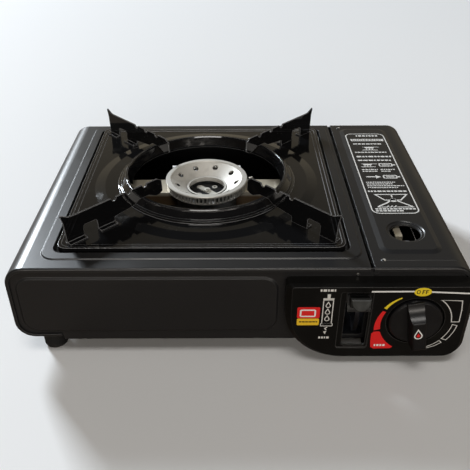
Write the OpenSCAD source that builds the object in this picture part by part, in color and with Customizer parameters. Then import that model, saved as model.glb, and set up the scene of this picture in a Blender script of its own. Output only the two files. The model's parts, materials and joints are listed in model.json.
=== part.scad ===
// Butane cassette stove: one cast burner on an enamelled pan at the left, and a
// bay at the right where a gas cartridge lies under a hinged lid.
// Origin: on the floor, at the centre of the footprint. +X right, +Y back, +Z up.

/* [Cartridge bay] */
// Radius of the gas cartridge that the stove is laid out round
cart_r = 33.5; // [33:0.25:34]
// Length of that cartridge
cart_l = 184; // [180:1:190]
// Cartridge behind the front lip
cart_front = 50; // [49.5:0.25:52]
// Room behind the cartridge for its carriage
cart_end_gap = 17.5; // [17:0.5:20]
// Room under the cartridge
cart_under_gap = 4.7; // [4:0.1:5.5]
// Room over the cartridge
cart_over_gap = 6.5; // [6:0.1:7]
// Room beside the cartridge, towards the lid's side
cart_side_gap = 8; // [8:0.25:9]
// Height of the tray and the control box above the floor
tray_h = 6; // [5:0.25:8]
// Corner radius of the tray
tray_r = 12; // [8:0.5:12]
// Height of the tray's wall on the divider
tray_left_h = 18; // [16:0.5:19]
// Height of the tray's outer wall
tray_wall_h = 29; // [24:0.5:29]
// Travel of the cartridge carriage
carriage_travel = 10; // [8:0.5:10]

/* [Body] */
// Height of the underside at the burner side
belly_h = 20; // [18:0.5:22]
// Thickness of the pressed steel
sheet = 0.8; // [0.6:0.1:0.9]
// Deck left between the left side and the recess of the pan
deck_left = 31.5; // [28:0.5:40]
// Radius where the deck rolls over into the sides
side_top_r = 15; // [10:0.5:16]
// Radius where the left side rolls under
side_base_r = 14; // [10:0.5:16]
// Radius of the front and rear edges of the deck, the side and the lid
edge_r = 1.8; // [1.2:0.1:2]
// Width of the turned-in lip at the front and rear
lip_w = 3; // [2.5:0.25:3.5]
// How far the left side is returned under the body
return_w = 34; // [30:1:50]
// Set-back of the end panels from the lips
panel_inset = 1.5; // [1.4:0.1:2.5]
// Depth of the flange round an end panel
panel_flange = 8; // [4:0.5:10]
// How far the end panels hang below the underside
panel_drop = 3; // [1:0.25:4]
// Height of the raised field of an end panel
field_h = 1.2; // [0.6:0.1:1.3]
// Width of the slope round that field
field_slope = 1.6; // [1:0.1:2.5]
// Clearance of a part that slips inside another
slip = 0.3; // [0.2:0.05:0.4]

/* [Lid] */
// Gap between the deck and the lid
seam_gap = 3; // [2.5:0.25:3.5]
// Depth of the flange turned down along the lid's seam edge
seam_flange = 5; // [3.5:0.5:5]
// Height of the lower edge of the lid's side above the hinge axis
lid_side_lift = 3; // [3:0.25:6]
// Hinge axis in from the outer side
hinge_in = 5.5; // [5.5:0.1:5.8]
// Height of the hinge axis
hinge_h = 27; // [26:0.5:29]
// Radius of the hinge pins
hinge_pin_r = 2; // [1.5:0.1:2.2]
// Radius of the eyes on the lid's ears
ear_r = 4.2; // [3.8:0.1:4.2]
// Running clearance of every pivot, on the radius
pivot_gap = 0.05; // [0.03:0.01:0.08]
// Height of the raised field on the lid
lid_field_h = 1.2; // [0.5:0.1:1.5]
// Width of the slope round that field
lid_field_slope = 4; // [2:0.25:5]
// Radius of the round window in the lid
window_r = 11.6; // [9:0.1:13]
// Radius of the dish round the window
window_dish_r = 14.85; // [14:0.05:16]
// Depth of that dish
window_dish_h = 2; // [1:0.25:2.5]
// Window centre behind the front lip
window_back = 46.1; // [42:0.1:60]

/* [Pan] */
// Deck left behind the recess
recess_rear = 11; // [10:0.25:13]
// Corner radius of the recess
recess_r = 8; // [6:0.5:10]
// Recess edge behind the front lip
recess_back = 19.1; // [16:0.1:20]
// Deck left between the recess and the seam
recess_side = 10.85; // [9:0.05:12]
// Depth of the ledge under the pan
recess_drop = 5; // [4.5:0.25:6]
// Width of that ledge
ledge_w = 7.7; // [6.5:0.1:9]
// Width of the raised frame round the recess
frame_w = 9; // [7:0.1:9.5]
// Width of the slope outside that frame
frame_slope = 2; // [1:0.1:3]
// Height of the raised frame
frame_h = 0.8; // [0.4:0.1:1.2]
// Gap between the pan's rim and the recess
pan_gap = 3.2; // [2:0.1:4]
// Height of the pan's rim above the deck
pan_rim_h = 2.8; // [2.4:0.1:3.5]
// Height of the pan's floor above the deck
pan_floor_h = 2; // [1.6:0.1:2.2]
// Pan left between its edge and the round step
step_in = 10.5; // [9:0.25:13]
// Width of the sloping step
step_w = 9; // [6:0.5:10]
// Rise of the step
step_h = 1.6; // [0.5:0.1:1.8]
// Radius of the ring at the crest of its rolled rim
ring_r = 68.9; // [67:0.1:70]
// Height of the ring's crest above the deck
ring_h = 12.2; // [10:0.1:12.4]
// Radius of the rolled rim itself
ring_roll = 1.6; // [1.2:0.1:1.8]

/* [Pan supports] */
// Thickness of a support blade
blade_t = 1.2; // [1:0.1:2]
// Height of the working edge above the deck
blade_h = 23.4; // [21:0.1:26]
// Height of the horn tips above the deck
horn_h = 27; // [26.5:0.25:30]
// Horn tips in from the corners of the pan
horn_in = 7.5; // [7:0.25:12]
// Depth of the notches in the working edge
notch_h = 2.9; // [1.5:0.1:4]
// Width of the feet's flanges
blade_foot_w = 5; // [3:0.5:7]

/* [Burner] */
// Radius of the burner's flat rim
burner_r = 35.8; // [34.5:0.1:38]
// Height of the rim above the deck
burner_h = 4; // [3.5:0.25:5]
// Number of flame slots in the skirt
slot_n = 64; // [48:2:72]
// Number of ports in the dished face
port_n = 9; // [6:1:10]
// Radius of the ports
port_r = 2.6; // [1.5:0.1:2.8]
// Radius of the opening in the middle
bowl_r = 15.8; // [15:0.1:17]
// Radius of the casting under the flame ring
chamber_r = 28.5; // [27:0.5:30]
// Radius of the mixing tube
tube_r = 9; // [8:0.25:9.5]

/* [Controls] */
// How far the control box stands out from the lips
box_out = 11; // [10:0.25:12]
// Width of the bevel round the control box
box_bevel = 4; // [2:0.1:4.5]
// Width of that bevel along the top
box_top_bevel = 1; // [0.5:0.1:2]
// Left edge of the control box, in from the seam
box_left = 60.25; // [59:0.25:62]
// How far the knob stands out from the box
knob_out = 13; // [11:0.25:16]
// Radius of the knob's disc
knob_r = 19.5; // [18:0.25:20]
// Gap between the knob's disc and its well in the box
knob_gap = 1.9; // [1:0.1:2]
// Lean of the closed knob's grip
knob_lean = 9; // [0:1:12]
// Width of the grip bar at its root
grip_w = 12.5; // [11:0.5:14]
// Radius of the valve spindle
spindle_r = 3; // [2.5:0.25:3.5]
// Turn of the knob from closed to the spark
knob_turn = 135; // [100:5:150]
// Width of the lever's slot
lever_slot_w = 17.5; // [17:0.25:17.5]
// Turn of the lock lever
lever_turn = 64; // [56:1:64]
// Half the angle that the lever's tab takes up
tab_half = 13; // [10:0.5:14]
// Radius of the lever's pivot pin
lever_pin_r = 2.5; // [2:0.25:2.75]
// Travel of the igniter's striker
striker_travel = 5; // [3:0.25:5]

/* [Feet] */
// Radius of a rubber foot
foot_r = 9.25; // [8:0.25:10]
// Left foot centres in from the side
foot_in_x = 23.2; // [21:0.2:24]
// Foot centres in from the front and rear
foot_in_y = 17; // [15:0.5:24]

/* [Hidden] */
$fn = 72;
hull_fn = 64;
eps = 0.01;

// overall frame, laid out round the cartridge
bay_gap = 0.45;
body_d = cart_front + cart_l + cart_end_gap;
recess = body_d - recess_back - recess_rear;
deck_w = deck_left + recess + recess_side;
body_w = deck_w + sheet + bay_gap + 2 * cart_r + cart_side_gap;
deck_h = tray_h + sheet + cart_under_gap + 2 * cart_r + cart_over_gap;
total_d = body_d + box_out + knob_out;
left = -body_w / 2;
right = body_w / 2;
front = -total_d / 2 + box_out + knob_out;
back = total_d / 2;
deck_edge = left + deck_w;
lid_edge = deck_edge + seam_gap;
deck_under = deck_h - sheet;

// end panels
panel_y = front + panel_inset;
panel_back = panel_y + sheet;
rear_panel_y = back - panel_inset;
rear_panel_in = rear_panel_y - sheet;
skin = sheet + slip;
panel_top_gap = 1.4;
panel_hinge_r = 4;
panel_end_gap = 1.5;
flange_base = belly_h + side_base_r + 2;
flange_stop = 0.4;
slot_l = 20;
slot_h = 3.2;
field_in_x = 6.5;
field_gap = 4.5;
field_base = 5.5;
field_top = 8.3;
field_r = 12;

// cartridge and tray
bay_left = deck_edge + sheet;
cart_x = bay_left + bay_gap + cart_r;
cart_z = deck_h - cart_over_gap - cart_r;
cart_y0 = front + cart_front;
cart_y1 = cart_y0 + cart_l;
tray_z = tray_h;
tray_left = bay_left;
tray_right = right - 10;
tray_left_r = 8;
saddle = [34, 6, cart_under_gap - 1.5];
saddle_in = 27;

// lid
hinge_x = right - hinge_in;
lid_side_z = hinge_h + lid_side_lift;
lip_z = lid_side_z + 6;
ear_t = 1;
ear_gap = 0.7;
pin_head_r = hinge_pin_r + 1.3;
pin_head_t = 1;
ear_top = hinge_h + 31;
lid_field_left = lid_edge + 7.25;
lid_field_right = right - 19;
lid_field_front = front + 17.35;
lid_field_rear = back - 10.5;
lid_field_r = 9;
window_x = cart_x - 0.1;
window_y = front + window_back;
crease_y = front + 9.3;
crease_w = 0.8;
crease_h = 0.3;
crease_x = lid_edge + 8.1;
pip_r = 1.5;
pip_h = 0.6;

// pan and recess
pan_x = deck_edge - recess_side - recess / 2;
pan_y = front + recess_back + recess / 2;
pan_side = recess - 2 * pan_gap;
pan_r = recess_r - 1;
pan_rim_w = 2.4;
pan_slope_w = 3;
ledge_z = deck_h - recess_drop;
ledge_side = recess - 2 * ledge_w;
pan_base = ledge_z + slip;
pan_floor = deck_h + pan_floor_h;
step_r = pan_side / 2 - step_in;
step_top = pan_floor + step_h;
wall_r = ring_r + 4.6;
crest_z = deck_h + ring_h;

// pan supports
blade_z = deck_h + blade_h;
horn_z = deck_h + horn_h;
horn_r = pan_side / sqrt(2) - horn_in;
horn_root_r = horn_r - 6.5;
foot_out_r = horn_r - 1.5;
foot_gap_out = foot_out_r - 16;
foot_in_r = step_r + 2;
foot_gap_in = foot_in_r + 15.5;
gap_top = deck_h + 12;
tip_r0 = ring_r - 19;
notch_half = 2.5;
notch_rs = [ring_r - 1.4, ring_r + 14.1, ring_r + 28.6];

// burner
seat_z = deck_h - 5;
head_z = seat_z + 0.8;
rim_z = deck_h + burner_h;
rim_t = 1.6;
rim_w = 4.8;
skirt_r = burner_r - 1;
skirt_t = 2;
skirt_h = rim_z - rim_t - head_z;
collar_w = 1.7;
collar_z = deck_h - 5.5;
slot_w = 1.6;
cone_t = 1.6;
well_z = deck_h - 11;
well_r = 23.5;
bracket_w = 24;
bracket_t = 0.8;
bracket_reach = 82;
bracket_drop = 12.5;
bracket_foot = 12;
base_z = belly_h + sheet;
base_top = base_z + sheet;
tube_z = deck_h - 25;
chamber_z = tube_z - tube_r - 1;
socket_wall = 1.2;
socket_l = 4;
socket_in = 8;
jet_x = deck_edge - 15.75;
jet_y = front + 42;
port_turn = -5.5;
port_in = 9.6;
tube_run = [pan_x - jet_x, pan_y - jet_y];
tube_len = norm(tube_run);
tube_turn = atan2(tube_run[1], tube_run[0]);
pipe_r = 2.5;
pipe_bend = 12;
bend_turn = 180 - tube_turn;
bend_cut = pipe_bend * tan(bend_turn / 2);
pipe_end = bend_cut + 4;
jet_l = 8;
tube_start = pipe_end + jet_l - 2;

// regulator
reg_y0 = front + 18;
reg_y1 = front + 46;
reg_mid = (reg_y0 + reg_y1) / 2;
reg_r = 17;
nose_r = 7;
nose_l = 4;
plate_t = 1.2;
socket_w = 44;
socket_bore_r = 8.2;
socket_bore_l = 8;
cover_r = 13;
cover_top = deck_h - 5;
cover_h = 8;
outlet_x = cart_x - 10;
plate_top = 14;
plate_drop = cart_z - tray_z - tray_wall_h - 0.5;
ear_w = 14;
guide_w = 5.5;
guide_l = 15;
guide_z = deck_h - window_dish_h - sheet - 0.9;
guide_x = cart_x - 4.25;

// control box
box_y = front - box_out;
box_back = front - 0.4;
box_x0 = deck_edge - box_left;
box_x1 = right - 1;
box_inner_x1 = right - lip_w - 1.5;
box_z0 = tray_z;
box_z1 = deck_h - 7.7;
box_r = [46, 16, 5, 4];
box_in_r = [42, 12, 2, 2];
box_wall = 2.5;
lever_x = deck_edge - 8.5;
lever_y = front + 13;
slot_top_gap = 5.4;
lever_side_gap = lever_slot_w / 2 + 1;
slot_over = 1;
slot_under = 4.5;
slot_z1 = box_z1 - slot_top_gap;
slot_dish = 1;
slot_dish_in = [4.1, 1.6, 2];
spindle_hole_r = spindle_r + 1;
well_wall = 1.5;
knob_well_r = knob_r + knob_gap;
knob_well_y = box_y + 7;

// knob
knob_sink = 4;
knob_back = box_y + knob_sink;
knob_proud = 2.2;
knob_disc_y = box_y - knob_proud;
knob_front = box_y - knob_out;
grip_r = knob_r - 1.2;
grip_top_r = knob_r - 0.2;
grip_pad = 0.5;
grip_pad_z = 8;
grip_tip_w = 9.8;
spindle_end = reg_y0 + 14;

// lock lever
lever_rest = lever_turn / 2;
arm_t = 3;
arm_half = 14;
arm_tail = 74;
tab_w = 16.5;
tab_ledge_w = 14;
tab_stand = 8.2;
tab_ledge_z = [15, 24];
lever_z = cart_z + 3;
tab_reach = slot_z1 - slot_over - lever_z;
tab_out_r = tab_reach / sin(lever_rest + tab_half) - 2.4;
arm_r = tab_out_r - 5;
slot_z0 = lever_z - tab_reach - slot_under;
crank_r = carriage_travel / (2 * sin(lever_rest));
crank_pin_r = 2;
crank_gap = 0.4;
crank_y = crank_r * sin(lever_rest);
crank_z = crank_r * cos(lever_rest);
lever_hub_r = crank_r + crank_pin_r + 1.5;

// cartridge carriage
carriage_x = bay_left + 0.65;
carriage_t = 1.2;
carriage_end = carriage_x + carriage_t;
strip_top = deck_h - 6.5;
strip_h = 9.5;
fork_y = lever_y + crank_y;
fork_half = crank_pin_r + crank_gap + 2.2;
fork_z0 = lever_z + crank_z - crank_pin_r - 3;
pusher_y = cart_y1 + 2;
pusher_x1 = cart_x + 22;
pusher_drop = 16;
stay_l = 14;
stay_h = 12;
rivet_r = 2;
rivet_ys = [cart_y0 + 20, cart_y1 - 34];
rivet_z = strip_top - strip_h / 2;

// igniter: the cam's radius grows evenly as the knob turns
cam_r = 9;
cam_y = front + 4.5;
cam_t = 3.5;
cam_lead = 15;
striker_gap = 0.5;
striker_x = cart_x + cam_r + striker_gap;
striker_r = 1.6;
striker_y = cam_y + cam_t / 2;
striker_bore = 14;
igniter_x0 = striker_x + striker_travel + 1;
igniter_x1 = right - 4;
igniter_y0 = front + 4.5;
igniter_h = 12;
wire_r = 1.1;
wire_x = igniter_x1 - 9;
wire_y0 = front + 11;
wire_y1 = front + 36;
wire_z = tray_z + tray_left_h + wire_r + 0.3;

// electrode
electrode_x = pan_x + 40;
electrode_y = pan_y - 6;
insulator_r = 2.8;
insulator_z0 = deck_h - 24;
insulator_z1 = deck_h + 2;
tip_r = 0.7;
tip_rise = 5;
tip_reach = 3;

// feet and screws
foot_in_right = 30;
foot_neck_r = 6;
screw_r = 1.4;
screw_t = 0.7;
screw_x = lever_x;
screw_z = box_z1 + screw_r + 0.2;
rear_screw_z = deck_h - panel_top_gap - 3.6;

// Outline of (x, z) points run along Y
module along_y(y0, y1) {
    translate([0, y1, 0]) rotate([90, 0, 0]) linear_extrude(y1 - y0) children();
}

// Outline of (y, z) points run along X
module along_x(x0, x1) {
    translate([x0, 0, 0]) rotate([90, 0, 90]) linear_extrude(x1 - x0) children();
}

// Outline of (x, y) points run up Z
module along_z(z0, z1) {
    translate([0, 0, z0]) linear_extrude(z1 - z0) children();
}

// What is cut off one corner to leave a quarter round
module corner_cut(r) {
    difference() {
        translate([-1, -1]) square(r + 1);
        translate([r, r]) circle(r);
    }
}

// Rectangle between two corners with rounded corners; a radius of 0 stays sharp.
// r = [lower left, lower right, upper right, upper left]
module round_rect(x0, y0, x1, y1, r) {
    difference() {
        translate([x0, y0]) square([x1 - x0, y1 - y0]);
        if (r[0] > 0) translate([x0, y0]) corner_cut(r[0]);
        if (r[1] > 0) translate([x1, y0]) mirror([1, 0]) corner_cut(r[1]);
        if (r[2] > 0) translate([x1, y1]) rotate(180) corner_cut(r[2]);
        if (r[3] > 0) translate([x0, y1]) mirror([0, 1]) corner_cut(r[3]);
    }
}

module round_square(side, r) {
    round_rect(-side / 2, -side / 2, side / 2, side / 2, [r, r, r, r]);
}

// Plate from z = 0 to h with round corners, its sides leaning in by the given amount
module pad(x0, y0, x1, y1, r, h, lean) {
    for (x = [x0 + r, x1 - r], y = [y0 + r, y1 - r])
        translate([x, y, 0]) cylinder(r1 = r, r2 = r - lean, h = h);
    along_x(x0 + r, x1 - r) polygon([[y0, 0], [y1, 0], [y1 - lean, h], [y0 + lean, h]]);
    along_y(y0 + r, y1 - r) polygon([[x0, 0], [x1, 0], [x1 - lean, h], [x0 + lean, h]]);
}

// What is cut off a rolled sheet's end, at y = 0, to round its outer edge; the roll
// runs a quarter turn from the given angle about the given centre
module roll_edge(x, z, r, turn) {
    translate([x, 0, z]) rotate([-90, 0, 0]) rotate([0, 0, turn])
        rotate_extrude(angle = 90) translate([r, 0]) mirror([1, 0]) corner_cut(edge_r);
}

// Does the same at the front and at the rear
module both_ends() {
    translate([0, front, 0]) children();
    translate([0, back, 0]) mirror([0, 1, 0]) children();
}

// Cross-section of the deck and left side, drawn in by the given amount
module shell_outline(in) {
    round_rect(left + in, belly_h + in, deck_edge + (in > 0 ? 1 : 0), deck_h - in,
               [side_base_r - in, 0, 0, side_top_r - in]);
}

// Frame, wall and ledge of the recess, before the middle is cut out
module recess_walls() {
    half = recess / 2 + frame_w;
    translate([0, 0, deck_under])
        pad(-half, -half, half, half, recess_r + frame_w / 2, sheet + frame_h, frame_slope);
    difference() {
        along_z(ledge_z - sheet, deck_under + eps)
            round_square(recess + 2 * sheet, recess_r + sheet);
        along_z(ledge_z - 1, ledge_z + eps) round_square(ledge_side, recess_r);
    }
}

module shell_edges() {
    along_x(left + side_top_r, deck_edge + 1)
        translate([0, deck_h]) mirror([0, 1]) corner_cut(edge_r);
    roll_edge(left + side_top_r, deck_h - side_top_r, side_top_r, 180);
    along_z(belly_h + side_base_r, deck_h - side_top_r)
        translate([left, 0]) corner_cut(edge_r);
    roll_edge(left + side_base_r, belly_h + side_base_r, side_base_r, 90);
    along_x(left + side_base_r, left + return_w + 1)
        translate([0, belly_h]) corner_cut(edge_r);
}

module body_shell() {
    flange_h = seam_flange + 1;
    flange_y = panel_back + flange_stop;
    color([0.09, 0.09, 0.1])
    difference() {
        union() {
            difference() {
                along_y(front, back) shell_outline(0);
                along_y(front + sheet, back - sheet) shell_outline(sheet);
                along_y(front - 1, back + 1) shell_outline(lip_w);
                translate([left + return_w, front - 1, belly_h - 1])
                    cube([body_w, body_d + 2, sheet + lip_w + 1]);
                both_ends() shell_edges();
            }
            translate([deck_edge - sheet, flange_y, deck_h - flange_h])
                cube([sheet, rear_panel_in - flange_stop - flange_y, flange_h - sheet + eps]);
            translate([pan_x, pan_y, 0]) recess_walls();
        }
        translate([pan_x, pan_y, 0])
            along_z(ledge_z, deck_h + frame_h + 1) round_square(recess, recess_r);
        translate([pan_x, pan_y, 0])
            along_z(ledge_z - 2, ledge_z + 1) round_square(ledge_side, recess_r);
    }
}

// Outline of an end panel
module panel_outline(in) {
    top = deck_h - panel_top_gap - in;
    round_rect(left + skin + in, belly_h + skin + in, tray_left + 1, top,
               [side_base_r - skin - in, 0, 0, side_top_r - skin - in]);
    round_rect(tray_left, hinge_h, hinge_x + panel_hinge_r - in, top,
               [0, 0, side_top_r - skin - in, 0]);
    if (in == 0) {
        translate([left + return_w + panel_end_gap, belly_h - panel_drop])
            square([deck_w - return_w, panel_drop + skin + 1]);
        round_rect(tray_left, tray_z, tray_right, hinge_h + 1, [tray_left_r, tray_r, 0, 0]);
        translate([tray_right - 4, hinge_h - panel_hinge_r])
            square([hinge_x - tray_right + 4, panel_hinge_r + 1]);
        translate([hinge_x, hinge_h]) circle(panel_hinge_r);
    }
}

// Pressed plate of one end, its outer face at y = 0 and its flange towards +Y
module end_panel() {
    along_y(0, sheet) panel_outline(0);
    difference() {
        along_y(sheet - eps, panel_flange) panel_outline(0);
        along_y(0, panel_flange + 1) panel_outline(sheet);
        translate([deck_edge - 4, 0, 0]) cube([body_w, panel_flange + 1, deck_h]);
        translate([left, 0, 0]) cube([body_w, panel_flange + 1, flange_base]);
    }
    translate([0, eps, 0]) rotate([90, 0, 0])
        pad(left + field_in_x, belly_h + field_base, box_x0 - field_gap,
            deck_h - field_top, field_r, field_h + eps, field_slope);
}

// Slot of the lock lever, or the shallow dish round it
module lever_opening(out) {
    half = lever_slot_w / 2;
    round_rect(lever_x - half - out[0], slot_z0 - out[2], lever_x + half + out[1],
               slot_z1, [2, 2, 2, 2]);
}

module front_panel() {
    color([0.1, 0.1, 0.11])
    difference() {
        translate([0, panel_y, 0]) end_panel();
        along_y(panel_y - 1, panel_back + 1) lever_opening([0, 0, 0]);
        along_y(panel_y - 1, panel_back + 1)
            translate([cart_x, cart_z]) circle(spindle_hole_r);
    }
}

module rear_panel() {
    pitch_x = 27;
    pitch_z = 6;
    color([0.1, 0.1, 0.11])
    difference() {
        translate([0, rear_panel_y, 0]) mirror([0, 1, 0]) end_panel();
        for (i = [-1:1], j = [0:1])
            translate([pan_x - 6 + i * pitch_x - slot_l / 2, rear_panel_in - 1,
                       belly_h + 10 + j * pitch_z])
                cube([slot_l, 2 + sheet + field_h, slot_h]);
    }
}

module base_plate() {
    base_left = left + side_base_r + 1;
    vent_w = 6;
    vent_l = 30;
    pitch_x = 38;
    pitch_y = 40;
    color([0.72, 0.73, 0.74])
    difference() {
        translate([base_left, panel_back, base_z])
            cube([deck_edge - base_left, rear_panel_in - panel_back, sheet]);
        for (i = [-1:1], j = [-1:1])
            translate([pan_x + i * pitch_x - vent_l / 2, pan_y + j * pitch_y, base_z - 1])
                cube([vent_l, vent_w, sheet + 2]);
    }
}

// Cross-section of the tray: floor, right wall and left wall of their own heights
module tray_outline(in, top) {
    round_rect(tray_left + in, tray_z + in, tray_right - in, top,
               [tray_left_r - in, tray_r - in, 0, 0]);
}

module cartridge_tray() {
    color([0.7, 0.71, 0.72]) {
        difference() {
            along_y(panel_back, rear_panel_in) tray_outline(0, tray_z + tray_wall_h);
            along_y(panel_back - 1, rear_panel_in + 1) tray_outline(sheet, deck_h);
            translate([tray_left - 1, front, tray_z + tray_left_h])
                cube([tray_left_r, body_d, deck_h]);
        }
        for (y = [cart_y0 + saddle_in, cart_y1 - saddle_in])
            translate([cart_x - saddle[0] / 2, y - saddle[1] / 2, tray_z + sheet - eps])
                cube(saddle);
    }
}

module divider_wall() {
    wire_hole_r = 3;
    pipe_hole_r = pipe_r + 0.5;
    window_w = 2 * (crank_y + crank_pin_r + 0.8);
    window_z0 = lever_z + crank_z - crank_pin_r - 0.8;
    window_z1 = lever_z + crank_r + crank_pin_r + 0.8;
    color([0.68, 0.69, 0.7])
    difference() {
        translate([deck_edge, panel_back, belly_h])
            cube([sheet, rear_panel_in - panel_back, deck_h - 1.5 - belly_h]);
        translate([deck_edge - 1, lever_y - window_w / 2, window_z0])
            cube([sheet + 2, window_w, window_z1 - window_z0]);
        along_x(deck_edge - 1, bay_left + 1) {
            translate([jet_y, tube_z]) circle(pipe_hole_r);
            translate([wire_y1, wire_z]) circle(wire_hole_r);
        }
    }
}

// Stub pin with a head, fixed on a panel at y = 0 and standing towards +Y
module hinge_stub() {
    reach = ear_gap + ear_t + 0.3;
    translate([hinge_x, 0, hinge_h]) rotate([-90, 0, 0]) {
        cylinder(r = hinge_pin_r, h = reach + eps);
        translate([0, 0, reach]) cylinder(r = pin_head_r, h = pin_head_t);
    }
}

module hinge_pins() {
    color([0.6, 0.6, 0.62]) {
        translate([0, panel_back, 0]) hinge_stub();
        translate([0, rear_panel_in, 0]) mirror([0, 1, 0]) hinge_stub();
    }
}

// Wing that carries one side of the burner: plate, two turned edges, leg and foot
module burner_wing() {
    difference() {
        union() {
            translate([0, -bracket_w / 2, seat_z - bracket_t])
                cube([bracket_reach, bracket_w, bracket_t]);
            for (side = [-1, 1])
                translate([0, side * (bracket_w - bracket_t) / 2 - bracket_t / 2,
                           seat_z - bracket_drop])
                    cube([bracket_reach, bracket_t, bracket_drop - bracket_t / 2]);
            translate([bracket_reach - bracket_t, -bracket_w / 2, base_top])
                cube([bracket_t, bracket_w, seat_z - base_top]);
            translate([bracket_reach - bracket_t, -bracket_w / 2, base_top])
                cube([bracket_foot, bracket_w, bracket_t]);
        }
        translate([0, 0, seat_z - 2 * bracket_drop])
            cylinder(r = chamber_r, h = 3 * bracket_drop);
    }
}

module burner_bracket_left() {
    color([0.8, 0.77, 0.7])
        translate([pan_x, pan_y, 0]) mirror([1, 0, 0]) burner_wing();
}

module burner_bracket_right() {
    color([0.8, 0.77, 0.7])
    difference() {
        translate([pan_x, pan_y, 0]) burner_wing();
        translate([electrode_x, electrode_y, seat_z - bracket_t - 1])
            cylinder(r = insulator_r, h = bracket_t + 2);
    }
}

// Casting under the flame ring: flange on the wings, chamber, well and tube socket
module burner_base() {
    flange_r = burner_r - 2.3;
    color([0.55, 0.55, 0.56])
    translate([pan_x, pan_y, 0])
    difference() {
        union() {
            translate([0, 0, chamber_z]) cylinder(r = chamber_r, h = head_z - chamber_z);
            translate([0, 0, seat_z]) cylinder(r = flange_r, h = head_z - seat_z);
            translate([0, 0, tube_z]) rotate([0, 90, tube_turn + 180])
                cylinder(r = tube_r + socket_wall, h = chamber_r + socket_l);
        }
        translate([0, 0, well_z]) cylinder(r = well_r, h = deck_h - well_z);
        translate([0, 0, tube_z]) rotate([0, 90, tube_turn + 180])
            translate([0, 0, chamber_r - socket_in])
                cylinder(r = tube_r, h = socket_in + socket_l + 1);
    }
}

module mixing_tube() {
    reach = tube_len - chamber_r + socket_in - tube_start;
    bell = 12;
    color([0.6, 0.6, 0.6])
    translate([jet_x, jet_y, tube_z]) rotate([0, 90, tube_turn])
        translate([0, 0, tube_start])
            rotate_extrude()
                polygon([[tube_r, 0], [tube_r, reach], [tube_r - 1, reach],
                         [tube_r - 1, bell + 10], [tube_r - 3.5, bell], [tube_r - 1, 1],
                         [tube_r - 1, 0]]);
}

// Skirt under the flame ring with its short flame slots
module slotted_skirt() {
    slot_z = 1;
    slot_h = skirt_h - slot_z - 0.3;
    difference() {
        cylinder(r = skirt_r, h = skirt_h + eps);
        translate([0, 0, -1]) cylinder(r = skirt_r - skirt_t, h = skirt_h + 2);
        for (i = [0:slot_n - 1])
            rotate(i * 360 / slot_n)
                translate([skirt_r - skirt_t - 0.5, -slot_w / 2, slot_z])
                    cube([skirt_t + 1, slot_w, slot_h]);
    }
}

module burner_head() {
    lip_r = burner_r - rim_w;
    cone_top = rim_z - 0.6;
    cone_foot = bowl_r + collar_w;
    groove_w = 0.5;
    slope = atan2(cone_top - collar_z, lip_r - cone_foot);
    port_at = burner_r - port_in;
    port_z = collar_z + (port_at - cone_foot) * tan(slope);
    color([0.86, 0.86, 0.84])
    translate([pan_x, pan_y, 0])
    difference() {
        union() {
            rotate_extrude()
                polygon([[burner_r, rim_z - rim_t], [burner_r, rim_z - 0.5],
                         [burner_r - 0.5, rim_z], [lip_r + groove_w + 0.6, rim_z],
                         [lip_r + groove_w + 0.4, rim_z - groove_w],
                         [lip_r + 0.6, rim_z - groove_w], [lip_r + 0.4, rim_z - 0.1],
                         [lip_r, cone_top], [cone_foot, collar_z],
                         [cone_foot, collar_z + 1], [bowl_r, collar_z + 1],
                         [bowl_r, collar_z - 3], [cone_foot, collar_z - 3],
                         [cone_foot, collar_z - cone_t],
                         [lip_r + 0.8, rim_z - rim_t - 0.8],
                         [skirt_r - skirt_t, rim_z - rim_t]]);
            translate([0, 0, head_z]) slotted_skirt();
        }
        for (i = [0:port_n - 1])
            rotate(port_turn + i * 360 / port_n)
                translate([port_at, 0, port_z])
                    rotate([0, -slope, 0])
                        translate([0, 0, -3]) cylinder(r = port_r, h = 5);
    }
}

module burner_inner_plate() {
    color([0.2, 0.2, 0.21])
    translate([pan_x, pan_y, well_z]) cylinder(r = bowl_r - 0.2, h = 0.8);
}

module burner_strap() {
    strap = [24, 5.5];
    color([0.85, 0.85, 0.82])
    translate([pan_x, pan_y, well_z + 0.8]) rotate(-45)
        linear_extrude(1)
            round_rect(-strap[0] / 2, -strap[1] / 2, strap[0] / 2, strap[1] / 2,
                       [2.5, 2.5, 2.5, 2.5]);
}

module burner_fasteners() {
    eyelet_at = 9.5;
    color([0.82, 0.82, 0.8])
    translate([pan_x, pan_y, well_z + 0.8]) {
        translate([0, 0, 1]) {
            cylinder(r = 3.2, h = 1.2, $fn = 6);
            translate([0, 0, 1.2]) cylinder(r = 1.6, h = 0.8);
        }
        for (side = [-1, 1])
            rotate(45) translate([side * eyelet_at, 0, 0])
                difference() {
                    cylinder(r = 2.4, h = 0.8);
                    translate([0, 0, -1]) cylinder(r = 1.1, h = 3);
                }
    }
}

// Pipe from the regulator, through the divider and round towards the burner
module gas_pipe() {
    straight = jet_x + bend_cut;
    sleeve_r = pipe_r + 0.7;
    sleeve_l = 3;
    color([0.8, 0.68, 0.4])
    translate([0, jet_y, tube_z]) {
        along_x(straight, outlet_x - 5) circle(pipe_r);
        translate([straight, pipe_bend, 0]) rotate(-90 - bend_turn)
            rotate_extrude(angle = bend_turn) translate([pipe_bend, 0]) circle(pipe_r);
        translate([jet_x, 0, 0]) rotate([0, 90, tube_turn])
            translate([0, 0, bend_cut]) {
                cylinder(r = pipe_r, h = pipe_end - bend_cut);
                translate([0, 0, -sleeve_l / 2]) cylinder(r = sleeve_r, h = sleeve_l);
            }
        along_x(straight - sleeve_l / 2, straight + sleeve_l / 2) circle(sleeve_r);
    }
}

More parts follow.
